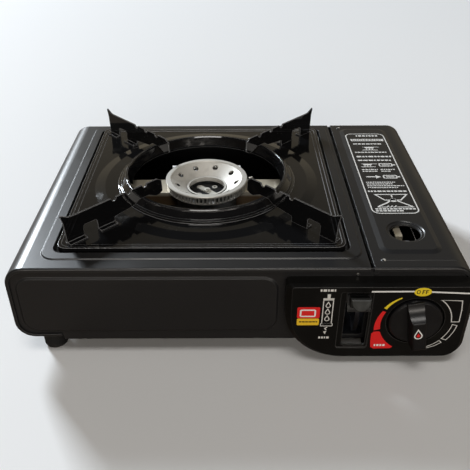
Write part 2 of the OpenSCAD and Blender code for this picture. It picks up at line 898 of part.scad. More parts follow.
module gas_jet() {
    color([0.8, 0.65, 0.3])
    translate([jet_x, jet_y, tube_z]) rotate([0, 90, tube_turn])
        translate([0, 0, pipe_end])
            rotate_extrude()
                polygon([[0.4, 0], [4, 0], [4, 4], [3, 5], [2, jet_l], [0.4, jet_l]]);
}

// Round body along Y with the nose for the spindle, the socket for the cartridge,
// the seat of the cover and the outlet to the pipe
module regulator_body() {
    seat = cover_top - cover_h;
    color([0.62, 0.63, 0.64])
    difference() {
        union() {
            along_y(reg_y0, reg_y1) translate([cart_x, cart_z]) circle(reg_r);
            along_y(reg_y0 - nose_l, reg_y0 + 1) translate([cart_x, cart_z]) circle(nose_r);
            translate([cart_x, reg_mid, cart_z]) cylinder(r = cover_r - 2, h = seat - cart_z);
            along_x(outlet_x - 5, outlet_x + 5) translate([jet_y, tube_z]) circle(pipe_r + 1.5);
        }
        along_y(reg_y0 - nose_l - 1, spindle_end + 0.5)
            translate([cart_x, cart_z]) circle(spindle_r + pivot_gap);
        along_y(reg_y1 - socket_bore_l, reg_y1 + 1)
            translate([cart_x, cart_z]) circle(socket_bore_r);
    }
}

module regulator_cover() {
    color([0.75, 0.76, 0.77])
    translate([cart_x, reg_mid, cover_top - cover_h]) {
        cylinder(r = cover_r, h = 3);
        cylinder(r = cover_r - 3, h = cover_h);
    }
}

module regulator_screws() {
    color([0.8, 0.78, 0.6])
    translate([cart_x, reg_mid, cover_top - cover_h + 3])
        for (i = [0:3])
            rotate(45 + 90 * i) translate([cover_r - 1.9, 0, 0]) cylinder(r = 1.1, h = 1);
}

// Plate behind the knob that carries the regulator's nose and the igniter
module regulator_bracket() {
    y1 = reg_y0;
    y0 = reg_y0 - plate_t;
    color([0.72, 0.73, 0.74])
    difference() {
        union() {
            along_y(y0, y1) {
                translate([bay_left, cart_z - plate_drop])
                    square([igniter_x1 - bay_left, plate_top]);
                translate([cart_x, cart_z]) circle(reg_r - 1);
                translate([igniter_x0, cart_z - igniter_h / 2 - 2])
                    square([igniter_x1 - igniter_x0, igniter_h + 4]);
            }
            translate([bay_left, y0, cart_z - plate_drop])
                cube([plate_t, ear_w, plate_drop]);
        }
        along_y(y0 - 1, y1 + 1) translate([cart_x, cart_z]) circle(nose_r);
    }
}

module socket_plate() {
    y0 = reg_y1;
    key_w = 5;
    half = socket_w / 2;
    color([0.8, 0.78, 0.72])
    difference() {
        union() {
            along_y(y0, y0 + plate_t)
                round_rect(cart_x - half, cart_z - half, cart_x + half, cart_z + half,
                           [4, 4, 4, 4]);
            translate([cart_x - key_w / 2, y0 + plate_t - eps, cart_z + 12])
                cube([key_w, 2, 6]);
            translate([guide_x - guide_w / 2, y0, cart_z + half - 1])
                cube([guide_w, plate_t, guide_z - cart_z - half + 1]);
            translate([guide_x - guide_w / 2, y0, guide_z - plate_t])
                cube([guide_w, guide_l, plate_t]);
        }
        along_y(y0 - 1, y0 + plate_t + 1)
            translate([cart_x, cart_z]) circle(socket_bore_r + 2);
    }
}

// Moulded box of the controls: bevelled face, open back, dish round the lever's slot
// and a round well that the knob sits in
module control_box() {
    color([0.07, 0.07, 0.08])
    difference() {
        union() {
            difference() {
                union() {
                    hull() {
                        along_y(box_y + box_bevel, box_back)
                            round_rect(box_x0, box_z0, box_x1, box_z1, box_r,
                                       $fn = hull_fn);
                        along_y(box_y, box_y + box_bevel)
                            round_rect(box_x0 + box_bevel, box_z0 + box_bevel,
                                       box_x1 - box_bevel, box_z1 - box_top_bevel, box_in_r,
                                       $fn = hull_fn);
                    }
                    along_y(box_back - eps, panel_y)
                        round_rect(box_x0, box_z0, box_inner_x1, box_z1, box_r);
                }
                along_y(box_y + box_wall, panel_y + 1)
                    round_rect(box_x0 + box_bevel, box_z0 + box_bevel,
                               box_inner_x1 - box_bevel, box_z1 - box_bevel, box_in_r);
            }
            along_y(box_y + 1, knob_well_y)
                translate([cart_x, cart_z]) circle(knob_well_r + well_wall);
        }
        along_y(box_y - 1, box_y + slot_dish) lever_opening(slot_dish_in);
        along_y(box_y - 1, knob_well_y + 1) lever_opening([0, 0, 0]);
        along_y(box_y - 1, knob_well_y - well_wall)
            translate([cart_x, cart_z]) circle(knob_well_r);
        along_y(box_y - 1, knob_well_y + 1)
            translate([cart_x, cart_z]) circle(spindle_hole_r);
    }
}

// Plate on the front panel that carries the free end of the lever's pivot
module lever_bracket() {
    bracket_w = 18;
    foot_l = 14;
    x1 = lever_x - lever_side_gap;
    z0 = lever_z - bracket_w / 2;
    color([0.72, 0.73, 0.74]) {
        translate([x1 - plate_t, panel_back, z0])
            cube([plate_t, lever_y - panel_back + 8, bracket_w]);
        translate([x1 - foot_l, panel_back, z0]) cube([foot_l, plate_t, bracket_w]);
    }
}

module lever_pivot_pin() {
    color([0.6, 0.6, 0.62])
        along_x(lever_x - lever_side_gap, deck_edge)
            translate([lever_y, lever_z]) circle(lever_pin_r);
}

module carriage_rivets() {
    head_x = carriage_end + 0.3;
    color([0.6, 0.6, 0.62])
        for (y = rivet_ys) {
            along_x(bay_left, head_x + eps) translate([y, rivet_z]) circle(rivet_r);
            along_x(head_x, head_x + 1) translate([y, rivet_z]) circle(rivet_r + 1.5);
        }
}

module igniter_body() {
    color([0.12, 0.12, 0.13])
    difference() {
        translate([igniter_x0, igniter_y0, cart_z - igniter_h / 2])
            cube([igniter_x1 - igniter_x0, reg_y0 - plate_t - igniter_y0, igniter_h]);
        along_x(igniter_x0 - 1, igniter_x0 + striker_bore)
            translate([striker_y, cart_z]) circle(striker_r + pivot_gap);
    }
}

module electrode_insulator() {
    color([0.93, 0.91, 0.86])
    translate([electrode_x, electrode_y, 0]) {
        translate([0, 0, insulator_z0])
            cylinder(r = insulator_r, h = insulator_z1 - insulator_z0);
        translate([0, 0, seat_z]) cylinder(r = insulator_r + 1.2, h = 3);
    }
}

// Wire tip that rises out of the insulator and bends towards the flame ring
module electrode_tip() {
    top = insulator_z1 + tip_rise;
    color([0.7, 0.7, 0.7])
    translate([electrode_x, electrode_y, 0]) {
        translate([0, 0, insulator_z1]) cylinder(r = tip_r, h = tip_rise);
        translate([0, 0, top]) sphere(r = tip_r, $fn = 24);
        translate([0, 0, top]) rotate([0, -100, 0]) cylinder(r = tip_r, h = tip_reach);
    }
}

module wire_run(from, to) {
    run = to - from;
    translate(from) rotate([0, acos(run[2] / norm(run)), atan2(run[1], run[0])])
        cylinder(r = wire_r, h = norm(run));
    translate(to) sphere(r = wire_r, $fn = 24);
}

module ignition_wire() {
    points = [[wire_x, wire_y0, cart_z - igniter_h / 2], [wire_x, wire_y0, wire_z],
              [wire_x, wire_y1, wire_z], [electrode_x, wire_y1, wire_z],
              [electrode_x, electrode_y, wire_z]];
    color([0.85, 0.83, 0.78]) {
        for (i = [0:len(points) - 2]) wire_run(points[i], points[i + 1]);
        translate([electrode_x, electrode_y, wire_z])
            cylinder(r = wire_r, h = insulator_z0 - wire_z);
    }
}

// Moulded rubber foot: neck at the top, bulge, flat sole
module rubber_foot(h) {
    color([0.08, 0.08, 0.08])
    rotate_extrude()
        polygon([[0, 0], [foot_r - 2, 0], [foot_r - 0.6, 0.06 * h], [foot_r, 0.14 * h],
                 [foot_r, 0.66 * h], [foot_r - 0.8, 0.75 * h], [foot_neck_r, 0.82 * h],
                 [foot_neck_r, h], [0, h]]);
}

module foot_front_left() {
    translate([left + foot_in_x, front + foot_in_y, 0]) rubber_foot(belly_h);
}

module foot_rear_left() {
    translate([left + foot_in_x, back - foot_in_y, 0]) rubber_foot(belly_h);
}

module foot_front_right() {
    translate([right - foot_in_right, front + foot_in_y, 0]) rubber_foot(tray_z);
}

module foot_rear_right() {
    translate([right - foot_in_right, back - foot_in_y, 0]) rubber_foot(tray_z);
}

module domed_screw() {
    cylinder(r1 = screw_r, r2 = screw_r - 0.5, h = screw_t);
}

// Domed screws of the end panels: one over the lever, three along the rear panel
module panel_screws() {
    color([0.7, 0.7, 0.72]) {
        translate([screw_x, panel_y, screw_z]) rotate([90, 0, 0]) domed_screw();
        for (x = [pan_x - recess / 3, pan_x + recess / 6, screw_x])
            translate([x, rear_panel_y, rear_screw_z]) rotate([-90, 0, 0]) domed_screw();
    }
}

// Cross-section of the lid, drawn in by the given amount
module lid_outline(in) {
    round_rect(lid_edge + in, lid_side_z - (in > 0 ? 1 : 0), right - in, deck_h - in,
               [0, 0, side_top_r - in, 0]);
}

// Ear of the lid at one end: eye round the pin and an arm up to the lid's side
module lid_ear() {
    difference() {
        union() {
            translate([hinge_x, hinge_h]) circle(ear_r);
            polygon([[hinge_x - ear_r + 0.2, hinge_h + 1],
                     [hinge_x - ear_r + 0.2, hinge_h + 14],
                     [right - sheet - 2, ear_top], [right - sheet + eps, ear_top],
                     [right - sheet + eps, lid_side_z],
                     [hinge_x + ear_r - 1, hinge_h + 1]]);
        }
        translate([hinge_x, hinge_h]) circle(hinge_pin_r + pivot_gap);
    }
}

module lid_edges() {
    along_x(lid_edge - 1, right - side_top_r)
        translate([0, deck_h]) mirror([0, 1]) corner_cut(edge_r);
    roll_edge(right - side_top_r, deck_h - side_top_r, side_top_r, 270);
    along_z(lid_side_z - 1, deck_h - side_top_r)
        translate([right, 0]) mirror([1, 0]) corner_cut(edge_r);
    translate([lid_edge - 1, sheet, deck_h - seam_flange - 1])
        cube([sheet + 1 + eps, panel_inset + flange_stop, seam_flange + 1 - sheet]);
}

module lid() {
    top = deck_h + lid_field_h;
    ear_y = panel_back + ear_gap;
    rear_ear_y = rear_panel_in - ear_gap;
    pip_x = crease_x - 1;
    color([0.09, 0.09, 0.1])
    difference() {
        union() {
            difference() {
                union() {
                    difference() {
                        along_y(front, back) lid_outline(0);
                        along_y(front + sheet, back - sheet) lid_outline(sheet);
                        along_y(front - 1, back + 1) lid_outline(lip_w);
                        translate([lid_edge - 1, front - 1, 0])
                            cube([sheet + lip_w + 5, body_d + 2, deck_h - seam_flange]);
                        translate([right - 12, front - 1, 0])
                            cube([12 - sheet, body_d + 2, lip_z]);
                        both_ends() lid_edges();
                    }
                    translate([0, 0, deck_h - eps])
                        pad(lid_field_left, lid_field_front, lid_field_right,
                            lid_field_rear, lid_field_r, lid_field_h + eps,
                            lid_field_slope);
                }
                translate([0, 0, deck_h - sheet - eps])
                    pad(lid_field_left + sheet, lid_field_front + sheet,
                        lid_field_right - sheet, lid_field_rear - sheet,
                        lid_field_r - sheet, lid_field_h + eps, lid_field_slope);
                translate([window_x, window_y, deck_under - 1])
                    cylinder(r = window_dish_r, h = 4);
            }
            translate([window_x, window_y, top]) rotate_extrude()
                polygon([[window_dish_r + 0.5, 0], [window_dish_r, 0],
                         [window_dish_r - 0.8, -0.7], [window_r + 0.9, -0.9],
                         [window_r, -window_dish_h], [window_r, -window_dish_h - sheet],
                         [window_dish_r + 0.5, -sheet]]);
            for (y = [crease_y, back - crease_y + front])
                translate([pip_x, y, deck_h - eps])
                    cylinder(r1 = pip_r, r2 = pip_r - 0.8, h = pip_h);
            along_y(ear_y, ear_y + ear_t) lid_ear();
            along_y(rear_ear_y - ear_t, rear_ear_y) lid_ear();
        }
        translate([crease_x, crease_y - crease_w / 2, deck_h - crease_h])
            cube([right - side_top_r + 6 - crease_x, crease_w, 1]);
        translate([window_x, window_y, deck_h - 6]) cylinder(r = window_r, h = 8);
    }
}

// Side view of the grip, (y, z) from the knob's axis: a flat pad at the low end and a
// hollow slope that runs down to the disc at the other
module grip_side() {
    root = knob_disc_y + 1;
    rise = knob_disc_y - knob_front;
    difference() {
        polygon([[root, -grip_r], [knob_front + 1.5, -grip_r], [knob_front, -grip_r + 2],
                 [knob_front, grip_pad_z], [knob_front + grip_pad, grip_pad_z + 0.6],
                 [knob_front + grip_pad, grip_top_r], [root, grip_top_r]]);
        translate([knob_front + grip_pad - 4.1, grip_top_r + 1.6]) circle(rise + 2.2);
    }
}

// Turned disc with a tapered grip across its face, leaning as it does when closed
module knob() {
    grip_half = grip_w / 2;
    tip_half = grip_tip_w / 2;
    rim = knob_back - knob_disc_y;
    color([0.06, 0.06, 0.07])
    translate([cart_x, 0, cart_z]) rotate([0, -knob_lean, 0])
    difference() {
        union() {
            translate([0, knob_back, 0]) rotate([90, 0, 0])
                rotate_extrude()
                    polygon([[0, 0], [knob_r, 0], [knob_r, rim - 1.2],
                             [knob_r - 1.2, rim], [0, rim]]);
            intersection() {
                along_z(-knob_r, knob_r)
                    polygon([[-grip_half, knob_disc_y + 1], [-tip_half, knob_front + 1],
                             [-tip_half + 1, knob_front], [tip_half - 1, knob_front],
                             [tip_half, knob_front + 1], [grip_half, knob_disc_y + 1]]);
                along_x(-grip_w, grip_w) grip_side();
            }
        }
        translate([0, knob_back + 1, 0]) rotate([90, 0, 0])
            cylinder(r = spindle_r, h = rim - 0.5);
    }
}

// Spindle with the spiral cam that drives the striker
module valve_spindle() {
    points = [for (a = [0:3:knob_turn + 3])
              let (r = cam_r + striker_travel * min(a / knob_turn, 1))
              [r * cos(-a), r * sin(-a)]];
    tail = [for (a = [knob_turn + cam_lead:15:360 - 15]) [cam_r * cos(-a), cam_r * sin(-a)]];
    color([0.7, 0.68, 0.6])
    translate([cart_x, 0, cart_z]) {
        along_y(knob_disc_y + 1.5, spindle_end) circle(spindle_r);
        along_y(cam_y, cam_y + cam_t) polygon(concat(points, tail));
    }
}

// Sector about the lever's pivot, angles counted from straight ahead upwards
module lever_sector(r, low, high) {
    reach = 2 * r;
    intersection() {
        circle(r);
        polygon([[0, 0], for (a = [low, (low + high) / 2, high])
                         reach * [-cos(a), sin(a)]]);
    }
}

// Arm whose sector still fills the slot when the lever is up, with the crank's pin
module lever_arm() {
    x0 = lever_x - arm_t / 2;
    color([0.75, 0.75, 0.76])
    translate([0, lever_y, lever_z]) {
        along_x(x0, x0 + arm_t)
            difference() {
                union() {
                    circle(lever_hub_r);
                    lever_sector(arm_r, lever_rest - arm_tail, lever_rest + arm_half);
                }
                circle(lever_pin_r + pivot_gap);
            }
        along_x(x0 + arm_t - eps, carriage_end + 0.4)
            translate([crank_y, crank_z]) circle(crank_pin_r);
    }
}

// Finger piece on the arm, with a narrower ledge that stands out for the thumb
module lever_tab() {
    root = -arm_r * cos(lever_rest);
    tip = box_y - tab_stand - lever_y;
    low = tab_ledge_z[0];
    high = tab_ledge_z[1];
    color([0.06, 0.06, 0.07])
    translate([0, lever_y, lever_z])
        difference() {
            union() {
                along_x(lever_x - tab_w / 2, lever_x + tab_w / 2)
                    lever_sector(tab_out_r, lever_rest - tab_half, lever_rest + tab_half);
                along_x(lever_x - tab_ledge_w / 2, lever_x + tab_ledge_w / 2)
                    polygon([[root, low], [tip + 2, low], [tip, low + 2], [tip, high - 1],
                             [tip + 1, high], [root - 1, high - 4], [root, high - 5]]);
            }
            along_x(lever_x - tab_w, lever_x + tab_w) circle(arm_r);
        }
}

// Strip along the divider with its fork at the front and its pusher at the rear
module cartridge_carriage() {
    y0 = fork_y - fork_half;
    slot_half = rivet_r + 0.3;
    slot_end = rivet_r + 0.5;
    push_z0 = cart_z - pusher_drop;
    color([0.74, 0.75, 0.76])
    difference() {
        union() {
            translate([carriage_x, y0, strip_top - strip_h])
                cube([carriage_t, pusher_y + carriage_t - y0, strip_h]);
            translate([carriage_x, y0, fork_z0])
                cube([carriage_t, 2 * fork_half, strip_top - fork_z0]);
            translate([carriage_x, pusher_y, push_z0])
                cube([pusher_x1 - carriage_x, carriage_t, strip_top - push_z0]);
            translate([carriage_x, pusher_y - stay_l, strip_top - strip_h - stay_h])
                cube([carriage_t, stay_l + eps, stay_h + 1]);
        }
        translate([carriage_x - 1, fork_y - crank_pin_r - crank_gap,
                   lever_z + crank_z - crank_pin_r - 0.7])
            cube([carriage_t + 2, 2 * (crank_pin_r + crank_gap),
                  crank_r - crank_z + 2 * crank_pin_r + 1.4]);
        for (y = rivet_ys)
            translate([carriage_x - 1, y - slot_end, rivet_z - slot_half])
                cube([carriage_t + 2, carriage_travel + 2 * slot_end, 2 * slot_half]);
    }
}

module striker() {
    color([0.8, 0.8, 0.8])
        along_x(striker_x, igniter_x0 + striker_bore - striker_travel - 1)
            translate([striker_y, cart_z]) circle(striker_r);
}

// Enamelled pan: square rim, sloping edge, stepped floor and the rolled ring
module drip_pan() {
    slope_side = pan_side - 2 * pan_rim_w;
    floor_side = slope_side - 2 * pan_slope_w;
    rim_z = deck_h + pan_rim_h;
    color([0.08, 0.08, 0.09])
    translate([pan_x, pan_y, 0]) {
        difference() {
            along_z(pan_base, rim_z) round_square(pan_side, pan_r);
            along_z(pan_base - 1, pan_floor - sheet)
                round_square(pan_side - 2 * sheet, pan_r - sheet);
            along_z(pan_floor, rim_z + 1) round_square(floor_side, pan_r - 2);
            along_z(rim_z - 0.4, rim_z + 1) round_square(slope_side, pan_r - 1);
            translate([0, 0, pan_base - 1]) cylinder(r = step_r, h = recess_drop + 10);
        }
        rotate_extrude()
            polygon([[step_r + 1, pan_floor - sheet], [step_r + 1, pan_floor],
                     [step_r, pan_floor], [step_r - step_w, step_top],
                     [wall_r + 3.4, step_top], [wall_r + 2.8, step_top + 1.8],
                     [wall_r + 2, step_top + 2.3], [wall_r + 0.6, step_top + 2.5],
                     [wall_r, step_top + 3.2], [ring_r + ring_roll, crest_z - 1.6],
                     [ring_r + ring_roll - 0.2, crest_z - 0.6],
                     [ring_r + 0.6, crest_z], [ring_r - 0.6, crest_z],
                     [ring_r - ring_roll, crest_z - 1], [ring_r - 2.2, crest_z - 2.4],
                     [ring_r - 4.4, step_top + 1], [ring_r - 4.4, step_top - 1],
                     [ring_r - 3.6, step_top - 1], [ring_r - 3.6, step_top + 1],
                     [ring_r - 1.3, crest_z - 2.6], [ring_r, crest_z - 1],
                     [ring_r + 0.6, crest_z - 1.8], [wall_r - 0.8, step_top + 2.6],
                     [wall_r + 0.2, step_top + 1.8], [wall_r + 1.8, step_top + 1.5],
                     [wall_r + 2.4, step_top - sheet],
                     [step_r - step_w, step_top - sheet],
                     [step_r - 1, pan_floor - sheet]]);
    }
}

// Side view of a support blade: radius from the burner axis, height. Three notches
// along its working edge, a blunt tip inside the ring and a horn outside
module blade_outline() {
    crest = crest_z + 0.1;
    polygon(concat(
        [[tip_r0, deck_h + 11], [tip_r0 + 0.5, deck_h + 20.5],
         [tip_r0 + 4.5, blade_z - 0.1]],
        [for (r = notch_rs, k = [[-1, 0], [-0.5, 0.4 - notch_h], [0, -notch_h],
                                 [0.5, 0.4 - notch_h], [1, 0]])
            [r + k[0] * notch_half, blade_z + k[1]]],
        [[horn_root_r - 3, blade_z], [horn_root_r, blade_z + 0.3],
         [horn_r - 0.4, horn_z], [horn_r, horn_z - 1.2], [foot_out_r, deck_h + 20],
         [foot_out_r - 1, pan_floor], [foot_gap_out, pan_floor],
         [foot_gap_out, gap_top - 1.5], [foot_gap_out - 1.5, gap_top],
         [foot_gap_in + 1.5, gap_top], [foot_gap_in, gap_top - 1.5],
         [foot_gap_in, pan_floor], [foot_in_r, pan_floor], [foot_in_r - 0.4, deck_h + 6.9],
         [wall_r + 14.5, deck_h + 8], [wall_r + 5.5, deck_h + 9], [wall_r + 0.5, crest],
         [ring_r - 4.6, crest], [tip_r0 + 7, deck_h + 8.7], [tip_r0 + 3, deck_h + 9]]));
}

// Pressed blade with a turned foot under each leg
module pan_support() {
    color([0.07, 0.07, 0.08]) {
        translate([0, blade_t / 2, 0]) rotate([90, 0, 0])
            linear_extrude(blade_t) blade_outline();
        translate([foot_gap_out, 0, pan_floor])
            cube([foot_out_r - 1 - foot_gap_out, blade_foot_w, blade_t]);
        translate([foot_in_r, 0, pan_floor])
            cube([foot_gap_in - foot_in_r, blade_foot_w, blade_t]);
    }
}

module pan_support_front_left() {
    translate([pan_x, pan_y, 0]) rotate(225) pan_support();
}

module pan_support_front_right() {
    translate([pan_x, pan_y, 0]) rotate(315) pan_support();
}

module pan_support_rear_left() {
    translate([pan_x, pan_y, 0]) rotate(135) pan_support();
}

module pan_support_rear_right() {
    translate([pan_x, pan_y, 0]) rotate(45) pan_support();
}

body_shell();
front_panel();
rear_panel();
base_plate();
cartridge_tray();
divider_wall();
hinge_pins();
burner_bracket_left();
burner_bracket_right();
burner_base();
mixing_tube();
burner_head();
burner_inner_plate();
burner_strap();
burner_fasteners();
gas_pipe();
gas_jet();
regulator_body();
regulator_cover();
regulator_screws();
regulator_bracket();
socket_plate();
control_box();
lever_bracket();
lever_pivot_pin();
carriage_rivets();
igniter_body();
electrode_insulator();
electrode_tip();
ignition_wire();
foot_front_left();
foot_front_right();
foot_rear_left();
foot_rear_right();
panel_screws();
lid();
knob();
valve_spindle();
lever_arm();
lever_tab();
cartridge_carriage();
striker();
drip_pan();
pan_support_front_left();
pan_support_front_right();
pan_support_rear_left();
pan_support_rear_right();
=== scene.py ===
# Looks of a butane cassette stove: satin black steel body and lid, gloss enamelled
# pan with four pressed supports, bare cast burner, moulded control box with its print.
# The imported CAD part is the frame. Everything here is a finish, a print or small trim.
import json
import math
import random
import bpy
from mathutils import Matrix, Vector


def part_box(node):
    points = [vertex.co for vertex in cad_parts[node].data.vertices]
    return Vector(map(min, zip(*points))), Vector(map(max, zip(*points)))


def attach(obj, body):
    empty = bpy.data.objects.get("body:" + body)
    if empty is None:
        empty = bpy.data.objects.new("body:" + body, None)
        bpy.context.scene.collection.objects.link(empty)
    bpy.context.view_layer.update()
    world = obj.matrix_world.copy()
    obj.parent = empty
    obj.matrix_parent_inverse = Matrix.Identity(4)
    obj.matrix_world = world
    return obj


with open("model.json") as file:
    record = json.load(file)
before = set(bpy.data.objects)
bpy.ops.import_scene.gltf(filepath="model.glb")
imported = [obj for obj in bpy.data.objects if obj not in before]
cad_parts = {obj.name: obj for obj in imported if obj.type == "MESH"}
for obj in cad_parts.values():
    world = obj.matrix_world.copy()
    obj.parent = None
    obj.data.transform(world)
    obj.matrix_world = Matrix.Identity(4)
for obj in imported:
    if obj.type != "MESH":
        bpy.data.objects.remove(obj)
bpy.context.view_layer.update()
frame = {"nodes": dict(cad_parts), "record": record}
mm = 0.001

# ---------------------------------------------------------------- paint language
# A shader written as arithmetic. A Val is one output in a Tree of nodes, and adding,
# multiplying or comparing Vals lays down the Math nodes. A Paint is one material.


class Val:
    """One output of a node, which can be reckoned with like a number."""

    def __init__(self, tree, socket):
        self.tree = tree
        self.socket = socket

    def math(self, operation, *others):
        return self.tree.node("ShaderNodeMath", dict(operation=operation), self, *others)

    def __add__(self, other):
        return self.math("ADD", other)

    def __sub__(self, other):
        return self.math("SUBTRACT", other)

    def __rsub__(self, other):
        return self.math("MULTIPLY_ADD", -1.0, other)

    def __mul__(self, other):
        return self.math("MULTIPLY", other)

    def __truediv__(self, other):
        return self.math("DIVIDE", other)

    def __pow__(self, other):
        return self.math("POWER", other)

    def __gt__(self, other):
        return self.math("GREATER_THAN", other)

    def __lt__(self, other):
        return self.math("LESS_THAN", other)

    __radd__ = __add__

    def ramp(self, low, high, kind="SMOOTHSTEP"):
        """0 below low and 1 above high; a falling ramp has low above high."""
        return self.tree.node("ShaderNodeMapRange", dict(interpolation_type=kind),
                              self, low, high)


class Tree:
    """The emptied node tree of a material or a world."""

    def __init__(self, owner):
        owner.use_nodes = True
        self.nodes = owner.node_tree.nodes
        self.links = owner.node_tree.links
        self.nodes.clear()

    def put(self, socket, value):
        """Fill a socket with a constant, a colour of three shares, or a Val."""
        if isinstance(value, Val):
            self.links.new(value.socket, socket)
        elif socket.type == "RGBA":
            socket.default_value = (*value, 1.0)
        else:
            socket.default_value = value

    def node(self, kind, settings, *values, out=0, **named):
        """A new node: its type, its settings, then its sockets in order or by name."""
        made = self.nodes.new(kind)
        for name, value in settings.items():
            setattr(made, name, value)
        for socket, value in zip(made.inputs, values):
            self.put(socket, value)
        for name, value in named.items():
            self.put(made.inputs[name], value)
        return Val(self, made.outputs[out]) if made.outputs else None

    def blend(self, share, first, second):
        """Colour between two colours; a colour is a tuple or a Val."""
        made = self.nodes.new("ShaderNodeMix")
        made.data_type = "RGBA"
        factor, colour_a, colour_b = (made.inputs[i] for i in (0, 6, 7))
        for socket, value in ((factor, share), (colour_a, first), (colour_b, second)):
            self.put(socket, value)
        return Val(self, made.outputs[2])


class Paint(Tree):
    """One material: a glossy surface whose values are constants or Vals."""

    def __init__(self, name, **values):
        self.material = bpy.data.materials.new(name)
        super().__init__(self.material)
        self.surface = self.nodes.new("ShaderNodeBsdfPrincipled")
        self.node("ShaderNodeOutputMaterial", {}, Val(self, self.surface.outputs[0]))
        self.place = self.node("ShaderNodeTexCoord", {}, out="Object")
        self.set(**values)

    def set(self, **values):
        """base_color=..., coat_weight=... set or drive the surface's own sockets."""
        for name, value in values.items():
            words = name.replace("_", " ").title().replace("Ior", "IOR")
            self.put(self.surface.inputs[words], value)

    def noise(self, scale, detail=2.0, stretch=None, rough=0.5):
        """Cloudy value about 0.5 with features of about 1 / scale metres."""
        place = self.place
        if stretch:
            place = self.node("ShaderNodeVectorMath", dict(operation="MULTIPLY"), place,
                              stretch)
        return self.node("ShaderNodeTexNoise", {}, Vector=place, Scale=scale,
                         Detail=detail, Roughness=rough)

    def spots(self, scale, size):
        """1 inside small round spots strewn about every 1 / scale metres, else 0."""
        near = self.node("ShaderNodeTexVoronoi", dict(feature="F1"), Vector=self.place,
                         Scale=scale, out="Distance")
        return near < size

    def edges(self, reach):
        """1 along sharp edges, to a distance of about reach in metres, else 0; the paints
        use it for painted edge highlights.
        """
        flat_cosine = 0.985
        sharp_cosine = 0.86
        eased = self.node("ShaderNodeBevel", dict(samples=8), Radius=reach)
        plain = self.node("ShaderNodeNewGeometry", {}, out="Normal")
        same = self.node("ShaderNodeVectorMath", dict(operation="DOT_PRODUCT"),
                         eased, plain, out="Value")
        return same.ramp(flat_cosine, sharp_cosine)

    def axis(self, name, vector=None):
        """One coordinate, X, Y or Z, of the place or of another vector."""
        return self.node("ShaderNodeSeparateXYZ", {}, vector or self.place, out=name)

    def bumps(self, *layers, edge=0.0):
        """Each layer is (height, strength, depth in metres); edge rounds the corners."""
        below = {}
        if edge:
            below["Normal"] = self.node("ShaderNodeBevel", dict(samples=6), Radius=edge)
        for height, strength, depth in layers:
            below["Normal"] = self.node("ShaderNodeBump", {}, Height=height,
                                        Strength=strength, Distance=depth, **below)
        self.set(normal=below["Normal"])


def coat(paint, *names):
    """The CAD nodes of these names take this paint."""
    for name in names:
        slots = frame["nodes"][name].data.materials
        for i in range(len(slots)):
            slots[i] = paint.material


def piece(name, vertices, faces, paint, body, smooth=False):
    """A mesh of this scene's own, in metres, riding on a CAD body."""
    mesh = bpy.data.meshes.new(name)
    mesh.from_pydata([tuple(v) for v in vertices], [], faces)
    mesh.materials.append(paint.material)
    mesh.polygons.foreach_set("use_smooth", [smooth] * len(mesh.polygons))
    made = bpy.data.objects.new(name, mesh)
    bpy.context.scene.collection.objects.link(made)
    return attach(made, body)


# ---------------------------------------------------------------- pressed body
# Deck, end panels and lid are deep-drawn sheet steel, powder coated satin black. The
# coat has a fine orange peel, a little dust, and rubs a trace smoother where hands go.
# Its sharp edges are lightened to grey as a painted highlight.

satin_black = Paint("satin_black_coat", specular_ior_level=0.5, coat_roughness=0.25)
peel = satin_black.noise(900.0, 2.0)
cloud = satin_black.noise(14.0, 3.0)
grain = satin_black.noise(4200.0, 1.0)
dust = satin_black.spots(420.0, 0.11) * satin_black.noise(40.0).ramp(0.42, 0.7)
rubbed = satin_black.noise(30.0, 4.0, (1.0, 0.35, 1.0)).ramp(0.5, 0.75)
powder = satin_black.blend(dust * 0.5 + grain * 0.12, (0.0115, 0.0115, 0.0125),
                           (0.06, 0.058, 0.054))
# Sharp edges are blended to grey: a painted highlight along every edge.
satin_black.set(
    base_color=satin_black.blend(satin_black.edges(0.6 * mm) * 0.4, powder,
                                 (0.16, 0.16, 0.16)),
    roughness=0.31 + cloud * 0.08 - rubbed * 0.05 + dust * 0.3,
    coat_weight=0.12 + rubbed * 0.1,
)
satin_black.bumps((peel, 0.16, 0.0002), (grain, 0.05, 0.0001), edge=0.5 * mm)
coat(satin_black, "body_shell", "front_panel", "rear_panel", "lid")

# ---------------------------------------------------------------- drip pan, supports
# Pressed steel in glossy black vitreous enamel, fired on. It is a little wavy, its sharp
# edges are lightened to grey as a painted highlight, and it keeps wiped-dry water marks
# and a few crumbs of dust.

enamel = Paint("black_enamel", specular_ior_level=0.5, coat_roughness=0.04)
flow = enamel.noise(75.0, 2.0)
ripple = enamel.noise(420.0, 1.0)
marks = enamel.noise(55.0, 5.0, rough=0.62).ramp(0.56, 0.7)
crumbs = enamel.spots(330.0, 0.09) * enamel.noise(25.0).ramp(0.5, 0.7)
# Grey along sharp edges: a painted highlight.
ink_specks_and_edge_highlight = enamel.edges(0.8 * mm)
glass = enamel.blend(crumbs * 0.6 + marks * 0.08, (0.0055, 0.0055, 0.006),
                     (0.09, 0.085, 0.075))
enamel.set(
    base_color=enamel.blend(ink_specks_and_edge_highlight * 0.8, glass, (0.36, 0.36, 0.37)),
    roughness=0.075 + marks * 0.07 + crumbs * 0.4,
    coat_weight=0.5 - marks * 0.2,
)
enamel.bumps((flow, 0.12, 0.0005), (ripple, 0.05, 0.0002), edge=0.7 * mm)
supports = [f"pan_support_{end}_{side}" for end in ("front", "rear")
            for side in ("left", "right")]
coat(enamel, "drip_pan", *supports)
